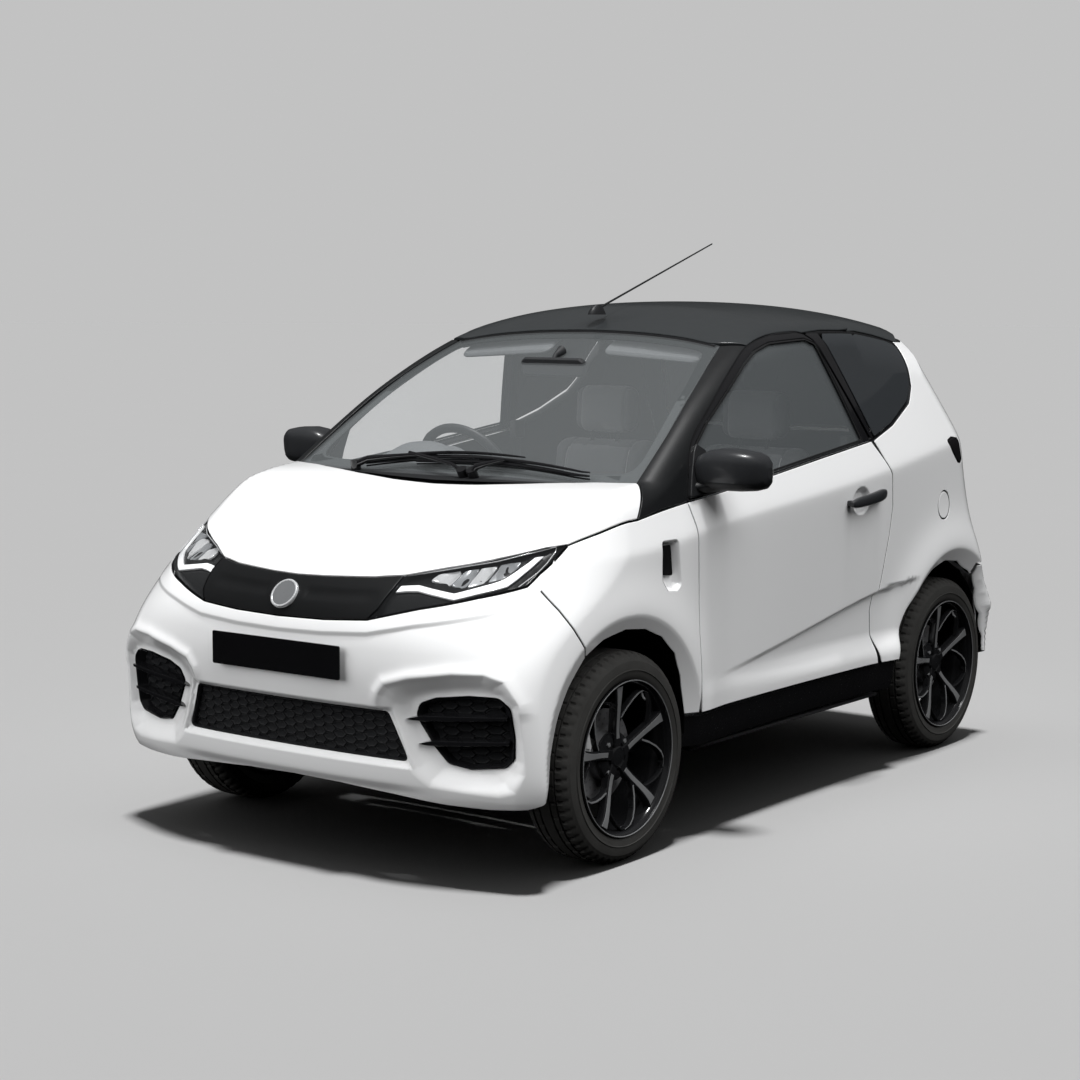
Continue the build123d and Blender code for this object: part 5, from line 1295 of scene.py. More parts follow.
sc = grid(np.array(rows), 0, close_v=True)
sc.add(rows[0], [list(range(9))], 0); sc.add(rows[-1], [list(range(9))[::-1]], 0)
piece("scuttle_cover", sc, [M_BLACK], "body", "scuttle", sharp=35)
def scr(x, b, lv):
    P = on(ScreenView, np.array([[x, b]]))
    return P[0] + grad(P)[0] * lv
wb = Bits()
def blade(p0, p1, bow):
    n = 24
    pts = []
    for k in range(n):
        t = k / (n - 1)
        x = p0[0] + (p1[0] - p0[0]) * t; b_ = p0[1] + (p1[1] - p0[1]) * t + bow * math.sin(math.pi * t)
        pts.append((x, b_))
    lowr = np.array([scr(x, b_, .004) for x, b_ in pts]); mid = np.array([scr(x, b_, .013) for x, b_ in pts]); top = np.array([scr(x, b_ + .004, .022) for x, b_ in pts])
    w = np.sin(np.linspace(.12, math.pi - .12, n)) ** .5
    wb.join(tube(lowr, .0028, 6)); wb.join(tube(mid, .0052 * w + .001, 8)); wb.join(tube(top, .0042 * w + .0008, 8))
    return pts
blade((-.310, .9690), (.235, .9950), .011)
blade((-.130, .9780), (.470, .9750), .009)
def arm(px, pb, q, r0=.011):
    a = scr(px, pb, .010); c = scr(q[0], q[1], .030)
    pts = [a, a + (c - a) * .15 + np.array([0, -.004, .012]), a + (c - a) * .5 + np.array([0, -.002, .008]), c]
    wb.join(tube(np.array(pts), [r0, r0 * .9, .0065, .0045], 10))
    wb.join(tube(np.array([scr(px, pb, -.012), scr(px, pb, .022)]), .015, 16))
arm(-.345, .9640, (-.02, .9930))
arm(.095, .9600, (.185, .9840))
arm(.060, .9600, (-.16, .9880), .006)
piece("wiper_arms", wb, [M_GLOSS], "body", "wipers", sharp=40)
ant = tube(np.array([(0, .052, 1.4435), (0, .10, 1.4595), (0, .689, 1.649)]), [.0042, .0032, .0022], 10)
base_rows = []
for k, (y0_, y1_, w_, z_) in enumerate(((-.000, .080, .020, 1.424), (.004, .074, .017, 1.434), (.016, .066, .012, 1.446), (.030, .058, .008, 1.4535))):
    base_rows.append([((w_) * math.cos(t), (y0_ + y1_) / 2 + (y1_ - y0_) / 2 * math.sin(t), z_) for t in np.linspace(0, 2 * np.pi, 28, endpoint=False)])
ab = grid(np.array(base_rows), 0, close_v=True, flip=True); ab.add(base_rows[-1], [list(range(28))], 0)
ant.join(ab)
piece("antenna_rod", ant, [M_BLACK], "body", "antenna", sharp=50)

# ------------------------------------------------------------------ wheels
HUBS = {"front": (.626, -.802, .281), "rear": (.598, 1.081, .281)}
LIP_R = .2075
def tyre_bits():
    """Tread with four grooves round it and slanted cuts over both shoulders."""
    prof = [(-.060, .2050), (-.070, .2075), (-.0745, .214), (-.0765, .222), (-.0785, .234), (-.0778, .2345), (-.0770, .246), (-.0745, .256), (-.0740, .2565), (-.0700, .2640), (-.0640, .2710)]
    tread = [(-.0580, .2755), (-.0520, .2782), (-.0440, .2798), (-.0431, .2800), (-.0430, .2748), (-.0371, .2748), (-.0370, .2804), (-.0290, .2808), (-.0211, .2809), (-.0210, .2752), (-.0151, .2752), (-.0150, .2810)]
    half = prof + tread
    P = half + [(0.0, .2810)] + [(-a, r) for a, r in half[::-1]]
    P = np.array(P)
    n = 360
    th = np.arange(n) * 2 * np.pi / n
    rows = []
    for i, t in enumerate(th):
        a, r = P[:, 0].copy(), P[:, 1].copy()
        # cuts lean with the distance from the middle
        for sgn in (1, -1):
            on_side = (a * sgn > .0435) & (r > .2660)
            cutm = on_side & ((i + np.round(np.abs(a) * 60)) % 6 < 1.5)
            r = np.where(cutm, r - .0042 * sstep((r - .262) / .008), r)
            mid = (a * sgn > .0205) & (a * sgn < .0375) & (r > .2790) & ((i + (2 if sgn > 0 else 4)) % 9 < 1)
            r = np.where(mid, r - .0030, r)
        rows.append(np.stack([a, -r * math.sin(t), r * math.cos(t)], 1))
    b = grid(rows, 0, close_u=True)
    # inner lining closes the ring
    inner = turned([(-.060, .2050), (-.066, .225), (-.060, .262), (.060, .262), (.066, .225), (.060, .2050)], (0, 0, 0), "x", 120, 0, close=False, flip=False)
    b.join(inner)
    # raised bands on the side wall
    for s in (1, -1):
        b.join(turned([(s * .0768, .2305), (s * .0796, .2312), (s * .0800, .2322), (s * .0796, .2332), (s * .0768, .2340)], (0, 0, 0), "x", 180, 0, close=False))
    return b

def polar(r, deg):
    """Place on the wheel's face: angle from up, turning towards the rear."""
    t = math.radians(deg)
    return (r * math.sin(t), r * math.cos(t))

def face_x(u):
    r = np.hypot(u[:, 0], u[:, 1])
    return .0455 + .020 * sstep((r - .045) / .15)

def spoke_place(P, d):
    x = face_x(P) + d
    return np.stack([x, P[:, 0], P[:, 1]], 1)

def band_line(rs, degs, ws):
    L, R = [], []
    for r, a, w in zip(rs, degs, ws):
        half = math.degrees(w / 2 / r)
        L.append(polar(r, a - half)); R.append(polar(r, a + half))
    return dense(np.array(L + R[::-1]), .010)

def rim_bits():
    b = Bits()
    # 0 gloss black, 1 grey: painted sheen on the spoke facets and a painted highlight on the lip, and the nuts' and
    #                        valve's own grey
    b.join(turned([(.0700, .2060), (.0762, .2085), (.0790, .2078), (.0793, .2060), (.0780, .2042), (.0740, .2030), (.0700, .1985), (.0600, .1945), (.0300, .1910), (-.0200, .1885), (-.0560, .1900), (-.0690, .1960), (-.0760, .2060), (-.0735, .2085), (-.0660, .2040), (-.0600, .2005), (-.0200, .1935), (.0500, .1975), (.0660, .2020)], (0, 0, 0), "x", 160, 0))
    # thin grey ring on the rim's lip: a painted highlight
    b.join(turned([(.0791, .2072), (.0800, .2066), (.0800, .2048), (.0786, .2038)], (0, 0, 0), "x", 160, 1, close=False, flip=True))
    for k in range(5):
        a0 = -8 + 72 * k
        rs = [.030, .055, .085, .120, .150, .175, .1955]
        dg = [a0 + 7, a0 + 4, a0 + 2, a0 + .5, a0, a0, a0 + .5]
        ws = [.030, .0265, .0245, .0245, .027, .030, .035]
        main = band_line(rs, dg, ws)
        b.join(slab(main, -.024, 0, spoke_place, bev=.0022, m=0))
        # grey strip along the spoke's crest: painted sheen
        rs2 = [.050, .085, .120, .150, .175, .1925]
        dg2 = [a0 + 4.5, a0 + 2, a0 + .5, a0, a0, a0 + .5]
        b.join(slab(band_line(rs2, dg2, [.0135, .0135, .0145, .017, .021, .026]), -.001, .0011, spoke_place, bev=.0006, m=1))
        # thin leg that leaves the bar and turns along the rim
        leg_r = [.088, .105, .130, .155, .176, .187, .1915]
        leg_a = [a0 + 3, a0 + 9, a0 + 17, a0 + 24, a0 + 30, a0 + 35, a0 + 42]
        b.join(slab(band_line(leg_r, leg_a, [.0165, .0125, .0105, .0105, .0120, .0120, .0085]), -.019, -.001, spoke_place, bev=.0018, m=0))
        # grey strip along the leg: painted sheen
        b.join(slab(band_line(leg_r[1:], leg_a[1:], [.0060, .0058, .0058, .0066, .0066, .0050]), -.002, -.0001, spoke_place, bev=.0005, m=1))
        leg_a2 = [a0 - 1, a0 - 6, a0 - 13, a0 - 19, a0 - 24, a0 - 27]
        leg_r2 = [.135, .148, .163, .177, .187, .1925]
        b.join(slab(band_line(leg_r2, leg_a2, [.014, .0105, .0090, .0090, .0100, .0120]), -.017, -.0015, spoke_place, bev=.0016, m=0))
    # hub, cap and nuts
    b.join(turned([(.018, .0005), (.018, .066), (.026, .068), (.034, .064), (.038, .054), (.0405, .044), (.0405, .0385), (.034, .0375), (.034, .030)], (0, 0, 0), "x", 90, 0, close=False, flip=True))
    b.join(turned([(.034, .0310), (.0425, .0305), (.0455, .0275), (.0470, .0230), (.0462, .0215), (.0475, .0120), (.0480, .0005)], (0, 0, 0), "x", 72, 0, close=False, flip=True))
    for k in range(4):
        y, z = polar(.0515, 45 + 90 * k)
        b.join(turned([(.030, .0085), (.0345, .0085), (.0345, .0068)], (0, y, z), "x", 24, 0, close=False, flip=True))
        hexn = [(y + .0066 * math.cos(t), z + .0066 * math.sin(t)) for t in np.arange(6) * math.pi / 3]
        b.join(slab(np.array(hexn), .030, .0425, lambda P, d: np.stack([np.full(len(P), 0.) + d, P[:, 0], P[:, 1]], 1), bev=.0012, m=1))
    # valve
    y, z = polar(.180, 30)
    b.join(tube(np.array([(.052, y * 1.04, z * 1.04), (.062, y * .96, z * .96), (.072, y * .92, z * .92)]), [.0042, .0036, .0030], 12, 1))
    return b

def disc_bits():
    b = turned([(-.0150, .060), (-.0150, .1215), (-.0140, .1222), (-.0070, .1222), (-.0060, .1215), (-.0060, .0680), (.0020, .0660), (.0180, .0650), (.0200, .0600), (.0200, .0010), (.0100, .0010), (.0100, .0550), (-.0100, .0560)], (0, 0, 0), "x", 120, 0, flip=True)
    # the drilled holes are near-black dots on the disc's face: painted shade inside the holes
    for k in range(24):
        for r, o in ((.082, 0), (.096, 5), (.110, 10)):
            y, z = polar(r, 15 * k + o)
            b.join(turned([(-.0058, .0027), (-.0056, .0022), (-.0066, .0020), (-.0066, .0003)], (0, y, z), "x", 8, 1, close=False, flip=True))
    return b

def caliper_bits():
    def pl(P, d):
        return np.stack([np.full(len(P), 0.) + d, P[:, 0], P[:, 1]], 1)
    def arc(r0, r1, a0, a1, n=9):
        o = [polar(r1, -a) for a in np.linspace(a0, a1, n)]
        i = [polar(r0, -a) for a in np.linspace(a1, a0, n)]
        return round_poly(np.array(o + i), .004)
    b = slab(arc(.084, .148, 50, 101), .0020, .0145, pl, bev=.003, m=0)
    b.join(slab(arc(.092, .136, 56, 72), .0125, .0175, pl, bev=.002, m=0))
    b.join(slab(arc(.092, .136, 79, 95), .0125, .0175, pl, bev=.002, m=0))
    b.join(slab(arc(.084, .148, 50, 101), -.046, -.0215, pl, bev=.003, m=0))
    b.join(slab(arc(.1265, .150, 54, 97), -.044, .0125, pl, bev=.003, m=0))
    for a in (59, 92):
        y, z = polar(.139, -a)
        b.join(turned([(.0120, .0062), (.0180, .0062), (.0188, .0050), (.0188, .0003)], (0, y, z), "x", 20, 1, close=False, flip=True))
    # pads
    b.join(slab(arc(.088, .121, 56, 95), -.0210, -.0165, pl, bev=.001, m=1))
    b.join(slab(arc(.088, .121, 56, 95), -.0045, .0015, pl, bev=.001, m=1))
    return b

def knuckle_bits():
    b = turned([(-.105, .0005), (-.105, .030), (-.098, .036), (-.050, .040), (-.045, .048), (-.022, .050), (-.018, .045), (-.018, .0005)], (0, 0, 0), "x", 60, 0, close=False, flip=True)
    b.join(tube(np.array([(-.070, 0, -.105), (-.066, 0, -.050), (-.062, 0, 0), (-.070, 0, .060), (-.085, .0, .110)]), [.014, .019, .024, .018, .013], 16, 0))
    b.join(tube(np.array([(-.066, -.010, 0), (-.060, -.060, .020), (-.048, -.100, .030)]), [.020, .015, .012], 14, 0))
    b.join(tube(np.array([(-.070, .012, -.010), (-.082, .070, -.014), (-.095, .105, -.014)]), [.017, .012, .011], 14, 0))
    return b

tb, rb_, db_, cb_, kb_ = tyre_bits(), rim_bits(), disc_bits(), caliper_bits(), knuckle_bits()
for end, (cx, cy, cz) in HUBS.items():
    off = np.array([cx, cy, cz])
    for s, side in ((1, "left"), (-1, "right")):
        nm = end + "_" + side
        put = lambda b: (b.moved(lambda P: P + off) if s > 0 else b.moved(lambda P: P + off).mirrored())
        body = "wheel_" + nm
        piece("tyre_%s_tread" % nm, put(tb), [M_TYRE], body, "tyre_" + nm, sharp=28)
        piece("rim_%s_face" % nm, put(rb_), [M_RIM, M_RIM_GREY_AND_SHEEN], body, "rim_" + nm, sharp=30)
        piece("brake_disc_" + nm, put(db_), [M_DISC, M_BLACK_AND_SHADE], body, sharp=30)
        if end == "front":
            piece("caliper_" + nm, put(cb_), [M_SILVER_C, M_IRON], "knuckle_front_" + side, "knuckle_front_" + side, sharp=30)
            piece("upright_" + nm, put(kb_), [M_IRON], "knuckle_front_" + side, sharp=35)
        else:
            piece("caliper_" + nm, put(cb_), [M_SILVER_C, M_IRON], "body", sharp=30)
for nm in ("engine_block", "front_subframe", "rear_axle"):
    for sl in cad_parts[nm].material_slots:
        sl.material = M_IRON if nm != "front_subframe" else M_CHASSIS

# ------------------------------------------------------------------ inside
def sweep_x(profile, xs, scale=None, m=0):
    """Profile in (y, z) carried across the car; scale(x) gives a shift and a factor."""
    rows = []
    P = np.asarray(profile, float); c = P.mean(0)
    for x in xs:
        k, dy, dz = scale(x) if scale else (1, 0, 0)
        Q = c + (P - c) * k
        rows.append(np.stack([np.full(len(Q), x), Q[:, 0] + dy, Q[:, 1] + dz], 1))
    b = grid(rows, m, close_v=True)
    n = len(P)
    mid0 = rows[0].mean(0); mid1 = rows[-1].mean(0)
    for R_, flip in ((rows[0], False), (rows[-1], True)):
        V = np.concatenate([R_, [R_.mean(0)]])
        b.add(V, [[i, (i + 1) % n, n] for i in range(n)], m, None, flip)
    return b

prof = round_poly([(-.640, .90), (-.560, .952), (-.440, .957), (-.385, .940), (-.366, .895), (-.372, .850), (-.405, .800), (-.425, .735), (-.470, .700), (-.600, .690), (-.640, .76)], [.01, .03, .03, .02, .02, .02, .03, .03, .02, .02, .02], n=5)
dash = sweep_x(dense(prof, .012), np.concatenate([[-.594, -.590], np.linspace(-.58, .58, 60), [.590, .594]]),
               lambda x: (1 - (.02 if abs(x) > .592 else 0), 0, -.006 * (abs(x) / .6) ** 2))
# binnacle: two rounded humps in front of the wheel
hump = Bits()
for cx in (-.345, -.235):
    rows = []
    for t in np.linspace(0, 2 * np.pi, 48, endpoint=False):
        rows.append([(cx + r * math.cos(t), y, .978 + r * .62 * math.sin(t) + .012) for y, r in ((-.50, .018), (-.480, .050), (-.440, .068), (-.400, .074), (-.378, .0745), (-.374, .0725), (-.377, .0690), (-.398, .0650))])
    hump.join(grid(rows, 0, close_u=True))
    rows = [[(cx + r * math.cos(t), -.3975, .978 + r * .62 * math.sin(t) + .012) for r in (.0655, .060, .052, .002)] for t in np.linspace(0, 2 * np.pi, 48, endpoint=False)]
    hump.join(grid(rows, 1, close_u=True))
    for k in range(11):
        a = math.radians(215 - 25 * k)
        p0 = (cx + .046 * math.cos(a), -.3955, .990 + .0285 * math.sin(a)); p1 = (cx + .056 * math.cos(a), -.3955, .990 + .0347 * math.sin(a))
        hump.join(tube(np.array([p0, p1]), .0012, 6, 2))
    a = math.radians(200)
    hump.join(tube(np.array([(cx, -.3945, .990), (cx + .048 * math.cos(a), -.3945, .990 + .030 * math.sin(a))]), [.0022, .0010], 6, 2))
dash.join(hump)
rows = []
for x in np.linspace(-.455, -.125, 34):
    h_ = .106 * max(0., 1 - ((x + .290) / .165) ** 2) ** .55 - .006
    rows.append([(x, y, .950 + h_ * k) for y, k in ((-.575, -.4), (-.550, .02), (-.515, .55), (-.480, .86), (-.445, 1.0), (-.415, 1.0), (-.398, .93), (-.394, .60), (-.398, .02), (-.405, -.4))])
dash.join(grid(rows, 0, close_v=True))
# vents, screen and a shelf
for x0, x1, z0, z1 in ((-.560, -.480, .865, .915), (.480, .560, .865, .915), (-.085, -.010, .885, .925), (.010, .085, .885, .925)):
    dash.join(bar((x0 - .006, -.372, z0 - .006), (x1 + .006, -.3605, z1 + .006), .004, 1))
    for k in range(4):
        z = z0 + (z1 - z0) * (k + .5) / 4
        dash.join(bar((x0, -.364, z - .0022), (x1, -.3565, z + .0022), .001, 0))
dash.join(bar((-.100, -.378, .755), (.100, -.3585, .868), .006, 3))
dash.join(bar((.150, -.385, .815), (.470, -.3655, .850), .006, 1))
piece("dash_top", dash, [M_GREY, M_BLACK, M_SILVER, M_GLOSS], "body", "dashboard", sharp=35)
con = bar((-.085, -.44, .205), (.085, .30, .300), .02, 0, 3)
con.join(bar((-.075, -.46, .20), (.075, -.33, .745), .02, 0, 3))
con.join(turned([(.298, .030), (.306, .030), (.309, .022), (.309, .0005)], (0, .02, 0), "z", 32, 1, close=False))
con.join(tube(np.array([(0, .02, .300), (0, .015, .360), (0, .012, .385)]), [.008, .008, .016], 16, 1))
con.join(tube(np.array([(.040, .12, .300), (.040, .10, .330), (.040, .02, .352)]), [.012, .012, .011], 12, 1))
piece("centre_console", con, [M_GREY_D, M_BLACK], "body", sharp=35)

# steering wheel
sw_c = np.array([-.285, -.235, .938]); sw_n = unit(np.array([0, 165., 77.]))
sw_u = np.array([1., 0, 0]); sw_v = unit(np.cross(sw_n, sw_u))
if sw_v[2] < 0: sw_v = -sw_v
def swp(u, v, w):
    return sw_c + sw_u * u + sw_v * v + sw_n * w
rows = []
for t in np.linspace(0, 2 * np.pi, 96, endpoint=False):
    r0 = .0145 + .0015 * (abs(math.sin(t)) > .35) * (abs(math.cos(t)) > .6)
    rows.append([swp((.160 + r0 * math.cos(p)) * math.cos(t), (.160 + r0 * math.cos(p)) * math.sin(t), r0 * .85 * math.sin(p)) for p in np.linspace(0, 2 * np.pi, 18, endpoint=False)])
sw = grid(rows, 0, close_u=True, close_v=True)
for k, (r, w) in enumerate(((.0005, .030),)):
    rows = [[swp(.058 * q * math.cos(t), .046 * q * math.sin(t) - .004, w_) for q, w_ in ((.02, .018), (.55, .0165), (.85, .012), (1.0, .004), (1.02, -.012), (.8, -.03), (.02, -.034))] for t in np.linspace(0, 2 * np.pi, 48, endpoint=False)]
    sw.join(grid(rows, 1, close_u=True))
for a in (8, 172, 270):
    t = math.radians(a)
    pth = [swp(.045 * math.cos(t), .036 * math.sin(t), -.002), swp(.10 * math.cos(t), .10 * math.sin(t), -.006), swp(.156 * math.cos(t), .156 * math.sin(t), -.001)]
    sw.join(tube(np.array(pth), [.017, .012, .0125], 14, 2))
piece("steering_wheel_ring", sw, [M_BLACK, M_GREY_D, M_SILVER_D], "steering_wheel", "steering_wheel", sharp=50)
col = tube(np.array([sw_c - sw_n * .034, sw_c - sw_n * .075, sw_c - sw_n * .16]), [.026, .034, .042], 28, 0)
for s in (1, -1):
    col.join(tube(np.array([sw_c - sw_n * .060, sw_c - sw_n * .050 + sw_u * s * .09, sw_c - sw_n * .046 + sw_u * s * .135]), [.009, .007, .009], 12, 1))
piece("steering_column", col, [M_GREY_D, M_BLACK], "body", sharp=45)

# seats -------------------------------------------------------------
from mathutils.bvhtree import BVHTree
def pad_mesh(fn, voxel, cap, pressure, seed_shape):
    """Closed form -> voxel remesh -> air pressure in the cloth solver -> applied, then eased."""
    V, F = seed_shape
    me = bpy.data.meshes.new("pad"); me.from_pydata([tuple(fn(v)) for v in V], [], F); me.update()
    ob = bpy.data.objects.new("pad", me); scene.collection.objects.link(ob)
    r = ob.modifiers.new("r", 'REMESH'); r.mode = 'VOXEL'; r.voxel_size = voxel
    dg = bpy.context.evaluated_depsgraph_get()
    m2 = bpy.data.meshes.new_from_object(ob.evaluated_get(dg))
    ob.modifiers.clear(); ob.data = m2
    base = np.zeros(len(m2.vertices) * 3); m2.vertices.foreach_get("co", base); base = base.reshape(-1, 3)
    c = ob.modifiers.new("c", 'CLOTH')
    st = c.settings
    st.quality = 4; st.mass = .3; st.tension_stiffness = 18; st.compression_stiffness = 18; st.shear_stiffness = 8; st.bending_stiffness = 1.5
    st.use_pressure = True; st.uniform_pressure_force = pressure
    st.effector_weights.gravity = 0
    c.collision_settings.use_collision = False; c.collision_settings.use_self_collision = False
    c.point_cache.frame_start = 1; c.point_cache.frame_end = 20
    for f in range(1, 21):
        scene.frame_set(f)
    dg = bpy.context.evaluated_depsgraph_get()
    m3 = bpy.data.meshes.new_from_object(ob.evaluated_get(dg))
    co = np.zeros(len(m3.vertices) * 3); m3.vertices.foreach_get("co", co); co = co.reshape(-1, 3)
    if co.shape == base.shape:
        dlt = co - base
        ln = np.linalg.norm(dlt, axis=1, keepdims=True)
        base = base + dlt * np.minimum(1, cap / np.maximum(ln, 1e-9))
    ob.modifiers.clear()
    scene.frame_set(1)
    F = [list(p.vertices) for p in m2.polygons]
    bpy.data.objects.remove(ob)
    # ease the voxel steps
    E = {}
    nb = [set() for _ in range(len(base))]
    for f in F:
        for i in range(len(f)):
            a, b_ = f[i], f[(i + 1) % len(f)]
            nb[a].add(b_); nb[b_].add(a)
    idx = np.array([i for i, s in enumerate(nb) for _ in s]); jdx = np.array([j for s in nb for j in s])
    cnt = np.bincount(idx, minlength=len(base))[:, None]
    for _ in range(4):
        acc = np.zeros_like(base)
        np.add.at(acc, idx, base[jdx])
        base = .45 * base + .55 * acc / np.maximum(cnt, 1)
    return base, F

def round_box(lo, hi, r, seg=4):
    b = bar(lo, hi, r, 0, seg)
    return b.V[0].tolist(), b.F

def finish_pad(name, V, F, mats, seams, dep, mirror_name=None, first=None):
    """Press the seams in, give the middle panels one cloth and the borders another."""
    V = np.array(V)
    out = []
    for nm, sx in ((name, 1), (mirror_name, -1)):
        if nm is None:
            continue
        W = V.copy()
        me = bpy.data.meshes.new(nm)
        Wm = W * [sx, 1, 1]
        me.from_pydata(Wm.tolist(), [], F if sx > 0 else [f[::-1] for f in F])
        for m in mats:
            me.materials.append(m)
        me.polygons.foreach_set("use_smooth", [True] * len(F))
        P = np.array([V[f].mean(0) for f in F])
        me.polygons.foreach_set("material_index", [int(v) for v in dep(P)])
        me.update()
        ob = bpy.data.objects.new(nm, me); scene.collection.objects.link(ob)
        sub = ob.modifiers.new("s", 'SUBSURF'); sub.levels = 1; sub.render_levels = 1
        dg = bpy.context.evaluated_depsgraph_get()
        m2 = bpy.data.meshes.new_from_object(ob.evaluated_get(dg)); ob.modifiers.clear(); ob.data = m2
        co = np.zeros(len(m2.vertices) * 3); m2.vertices.foreach_get("co", co); co = co.reshape(-1, 3)
        no = np.zeros(len(m2.vertices) * 3); m2.vertices.foreach_get("normal", no); no = no.reshape(-1, 3)
        L = co * [sx, 1, 1]
        g = seams(L)
        co = co - no * (.0045 * np.exp(-(g / .006) ** 2))[:, None]
        m2.vertices.foreach_set("co", co.ravel()); m2.update()
        m2.polygons.foreach_set("use_smooth", [True] * len(m2.polygons))
        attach(ob, "body")
        out.append(ob)
    return out

SX = .285
def near_line(L, fns):
    d = np.full(len(L), 9.)
    for f in fns:
        d = np.minimum(d, np.abs(f(L)))
    return d
# cushion: rises to the front, thicker sides
def cu(v):
    x, y, z = v
    t = (y + .09) / .43
    return (x, y, z + .018 * (1 - t) + .010 * (abs(x - SX) / .22) ** 3)
VB, FB = pad_mesh(cu, .0080, .012, 4.0, round_box((SX - .212, -.078, .350), (SX + .212, .335, .438), .036))
cush_seam = lambda L: np.where(L[:, 2] > .400, near_line(L, [lambda L: np.abs(L[:, 0] - SX) - .135, lambda L: np.maximum(np.abs(L[:, 1] - .05), (np.abs(L[:, 0] - SX) - .135) * 3), lambda L: np.maximum(np.abs(L[:, 1] - .19), (np.abs(L[:, 0] - SX) - .135) * 3)]), 9.)
mid_c = lambda P: np.where((np.abs(P[:, 0] - SX) < .135) & (P[:, 2] > .40), 0, 1)
pads = finish_pad("seat_cushion_left", VB, FB, [M_SEAT, M_SEAT_EDGE], cush_seam, mid_c, "seat_cushion_right")
# backrest: leans back, waisted, winged
def ba(v):
    x, y, z = v
    t = (z - .44) / .58
    wing = .028 * (abs(x - SX) / .2) ** 3 * (1 if y < .40 else .2)
    k = 1 - .10 * sstep((t - .62) / .38) - .03 * math.sin(math.pi * min(max(t, 0), 1))
    return (SX + (x - SX) * k, y + .135 * t - wing * (1 - .3 * t), z)
VB, FB = pad_mesh(ba, .0090, .012, 4.0, round_box((SX - .212, .352, .440), (SX + .212, .440, 1.020), .036))
front_y = lambda L: L[:, 1] - .135 * (L[:, 2] - .44) / .58
back_seam = lambda L: np.where(front_y(L) < .385, near_line(L, [lambda L: np.abs(L[:, 0] - SX) - .122, lambda L: np.maximum(np.abs(L[:, 2] - .60), (np.abs(L[:, 0] - SX) - .122) * 3), lambda L: np.maximum(np.abs(L[:, 2] - .74), (np.abs(L[:, 0] - SX) - .122) * 3), lambda L: np.maximum(np.abs(L[:, 2] - .88), (np.abs(L[:, 0] - SX) - .122) * 3)]), 9.)
mid_b = lambda P: np.where((np.abs(P[:, 0] - SX) < .122) & (front_y(P) < .39) & (P[:, 2] < .99), 0, 1)
pads += finish_pad("seat_back_left", VB, FB, [M_SEAT, M_SEAT_EDGE], back_seam, mid_b, "seat_back_right")
def he(v):
    x, y, z = v
    k = 1 - .16 * ((z - 1.11) / .09) ** 2
    return (SX + (x - SX) * k, y + .06 * (z - 1.03) - .012 * ((x - SX) / .12) ** 2 + .012, z)
VB, FB = pad_mesh(he, .0074, .010, 4.0, round_box((SX - .122, .468, 1.032), (SX + .122, .540, 1.186), .032))
head_seam = lambda L: np.where(L[:, 1] < .505, near_line(L, [lambda L: np.abs(L[:, 0] - SX) - .088]), 9.)
pads += finish_pad("seat_head_left", VB, FB, [M_SEAT, M_SEAT_EDGE], head_seam, lambda P: np.where((np.abs(P[:, 0] - SX) < .088) & (P[:, 1] < .51), 0, 1), "seat_head_right")
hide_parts("seats")
# stitched seams: fine piping that follows each pad's own skin
def piping(ob, start, along, toward, sx):
    dg = bpy.context.evaluated_depsgraph_get()
    tree = BVHTree.FromObject(ob, dg)
    out = Bits()
    for lines in along:
        pts = []
        for q in lines:
            o = Vector((q[0] * sx, q[1], q[2]))
            h_, n_, _, _ = tree.ray_cast(o, Vector(toward))
            if h_ is not None:
                pts.append(np.array(h_) + np.array(n_) * .0004)
        if len(pts) > 3:
            out.join(tube(np.array(pts), .0017, 6, 0))
    return out
pip = Bits()
for sx, c_ob, b_ob in ((1, pads[0], pads[2]), (-1, pads[1], pads[3])):
    for s in (-1, 1):
        pip.join(piping(c_ob, None, [[(SX + s * .135, y, .60) for y in np.linspace(-.05, .31, 40)]], (0, 0, -1), sx))
        pip.join(piping(b_ob, None, [[(SX + s * .122, .10, z) for z in np.linspace(.47, .98, 50)]], (0, 1, 0), sx))
fkp = piece("seat_piping", pip, [M_STITCH], "body")
# frames under the pads
base = Bits()
for s in (1, -1):
    c = SX * s
    base.join(bar((c - .195, -.06, .262), (c + .195, .33, .352), .02, 0, 3))
    for dx in (-.17, .17):
        base.join(bar((c + dx - .018, -.10, .205), (c + dx + .018, .36, .228), .005, 1))
        base.join(bar((c + dx - .012, -.02, .222), (c + dx + .012, .30, .268), .004, 1))
    for dx in (-.215, .215):
        base.join(slab(round_poly([(.27, .30), (.38, .30), (.45, .50), (.41, .55), (.36, .48), (.27, .37)], .02), c + dx - .010, c + dx + .010, lambda P, d: np.stack([np.full(len(P), 0.) + d, P[:, 0], P[:, 1]], 1), bev=.003, m=0))
    for dx in (-.05, .05):
        base.join(tube(np.array([(c + dx, .485, .99), (c + dx, .498, 1.03), (c + dx, .506, 1.09)]), .0055, 12, 2))
    # back shell
    base.join(slab(round_poly([(c - .17, .47), (c + .17, .47), (c + .165, .80), (c + .15, .99), (c - .15, .99), (c - .165, .80)], .05), .452, .460,
                   lambda P, d: np.stack([P[:, 0], np.full(len(P), 0.) + d + .135 * (P[:, 1] - .44) / .58, P[:, 1]], 1), bev=.003, m=0))
piece("seat_frames", base, [M_GREY_D, M_IRON, M_BLACK], "body", sharp=35)
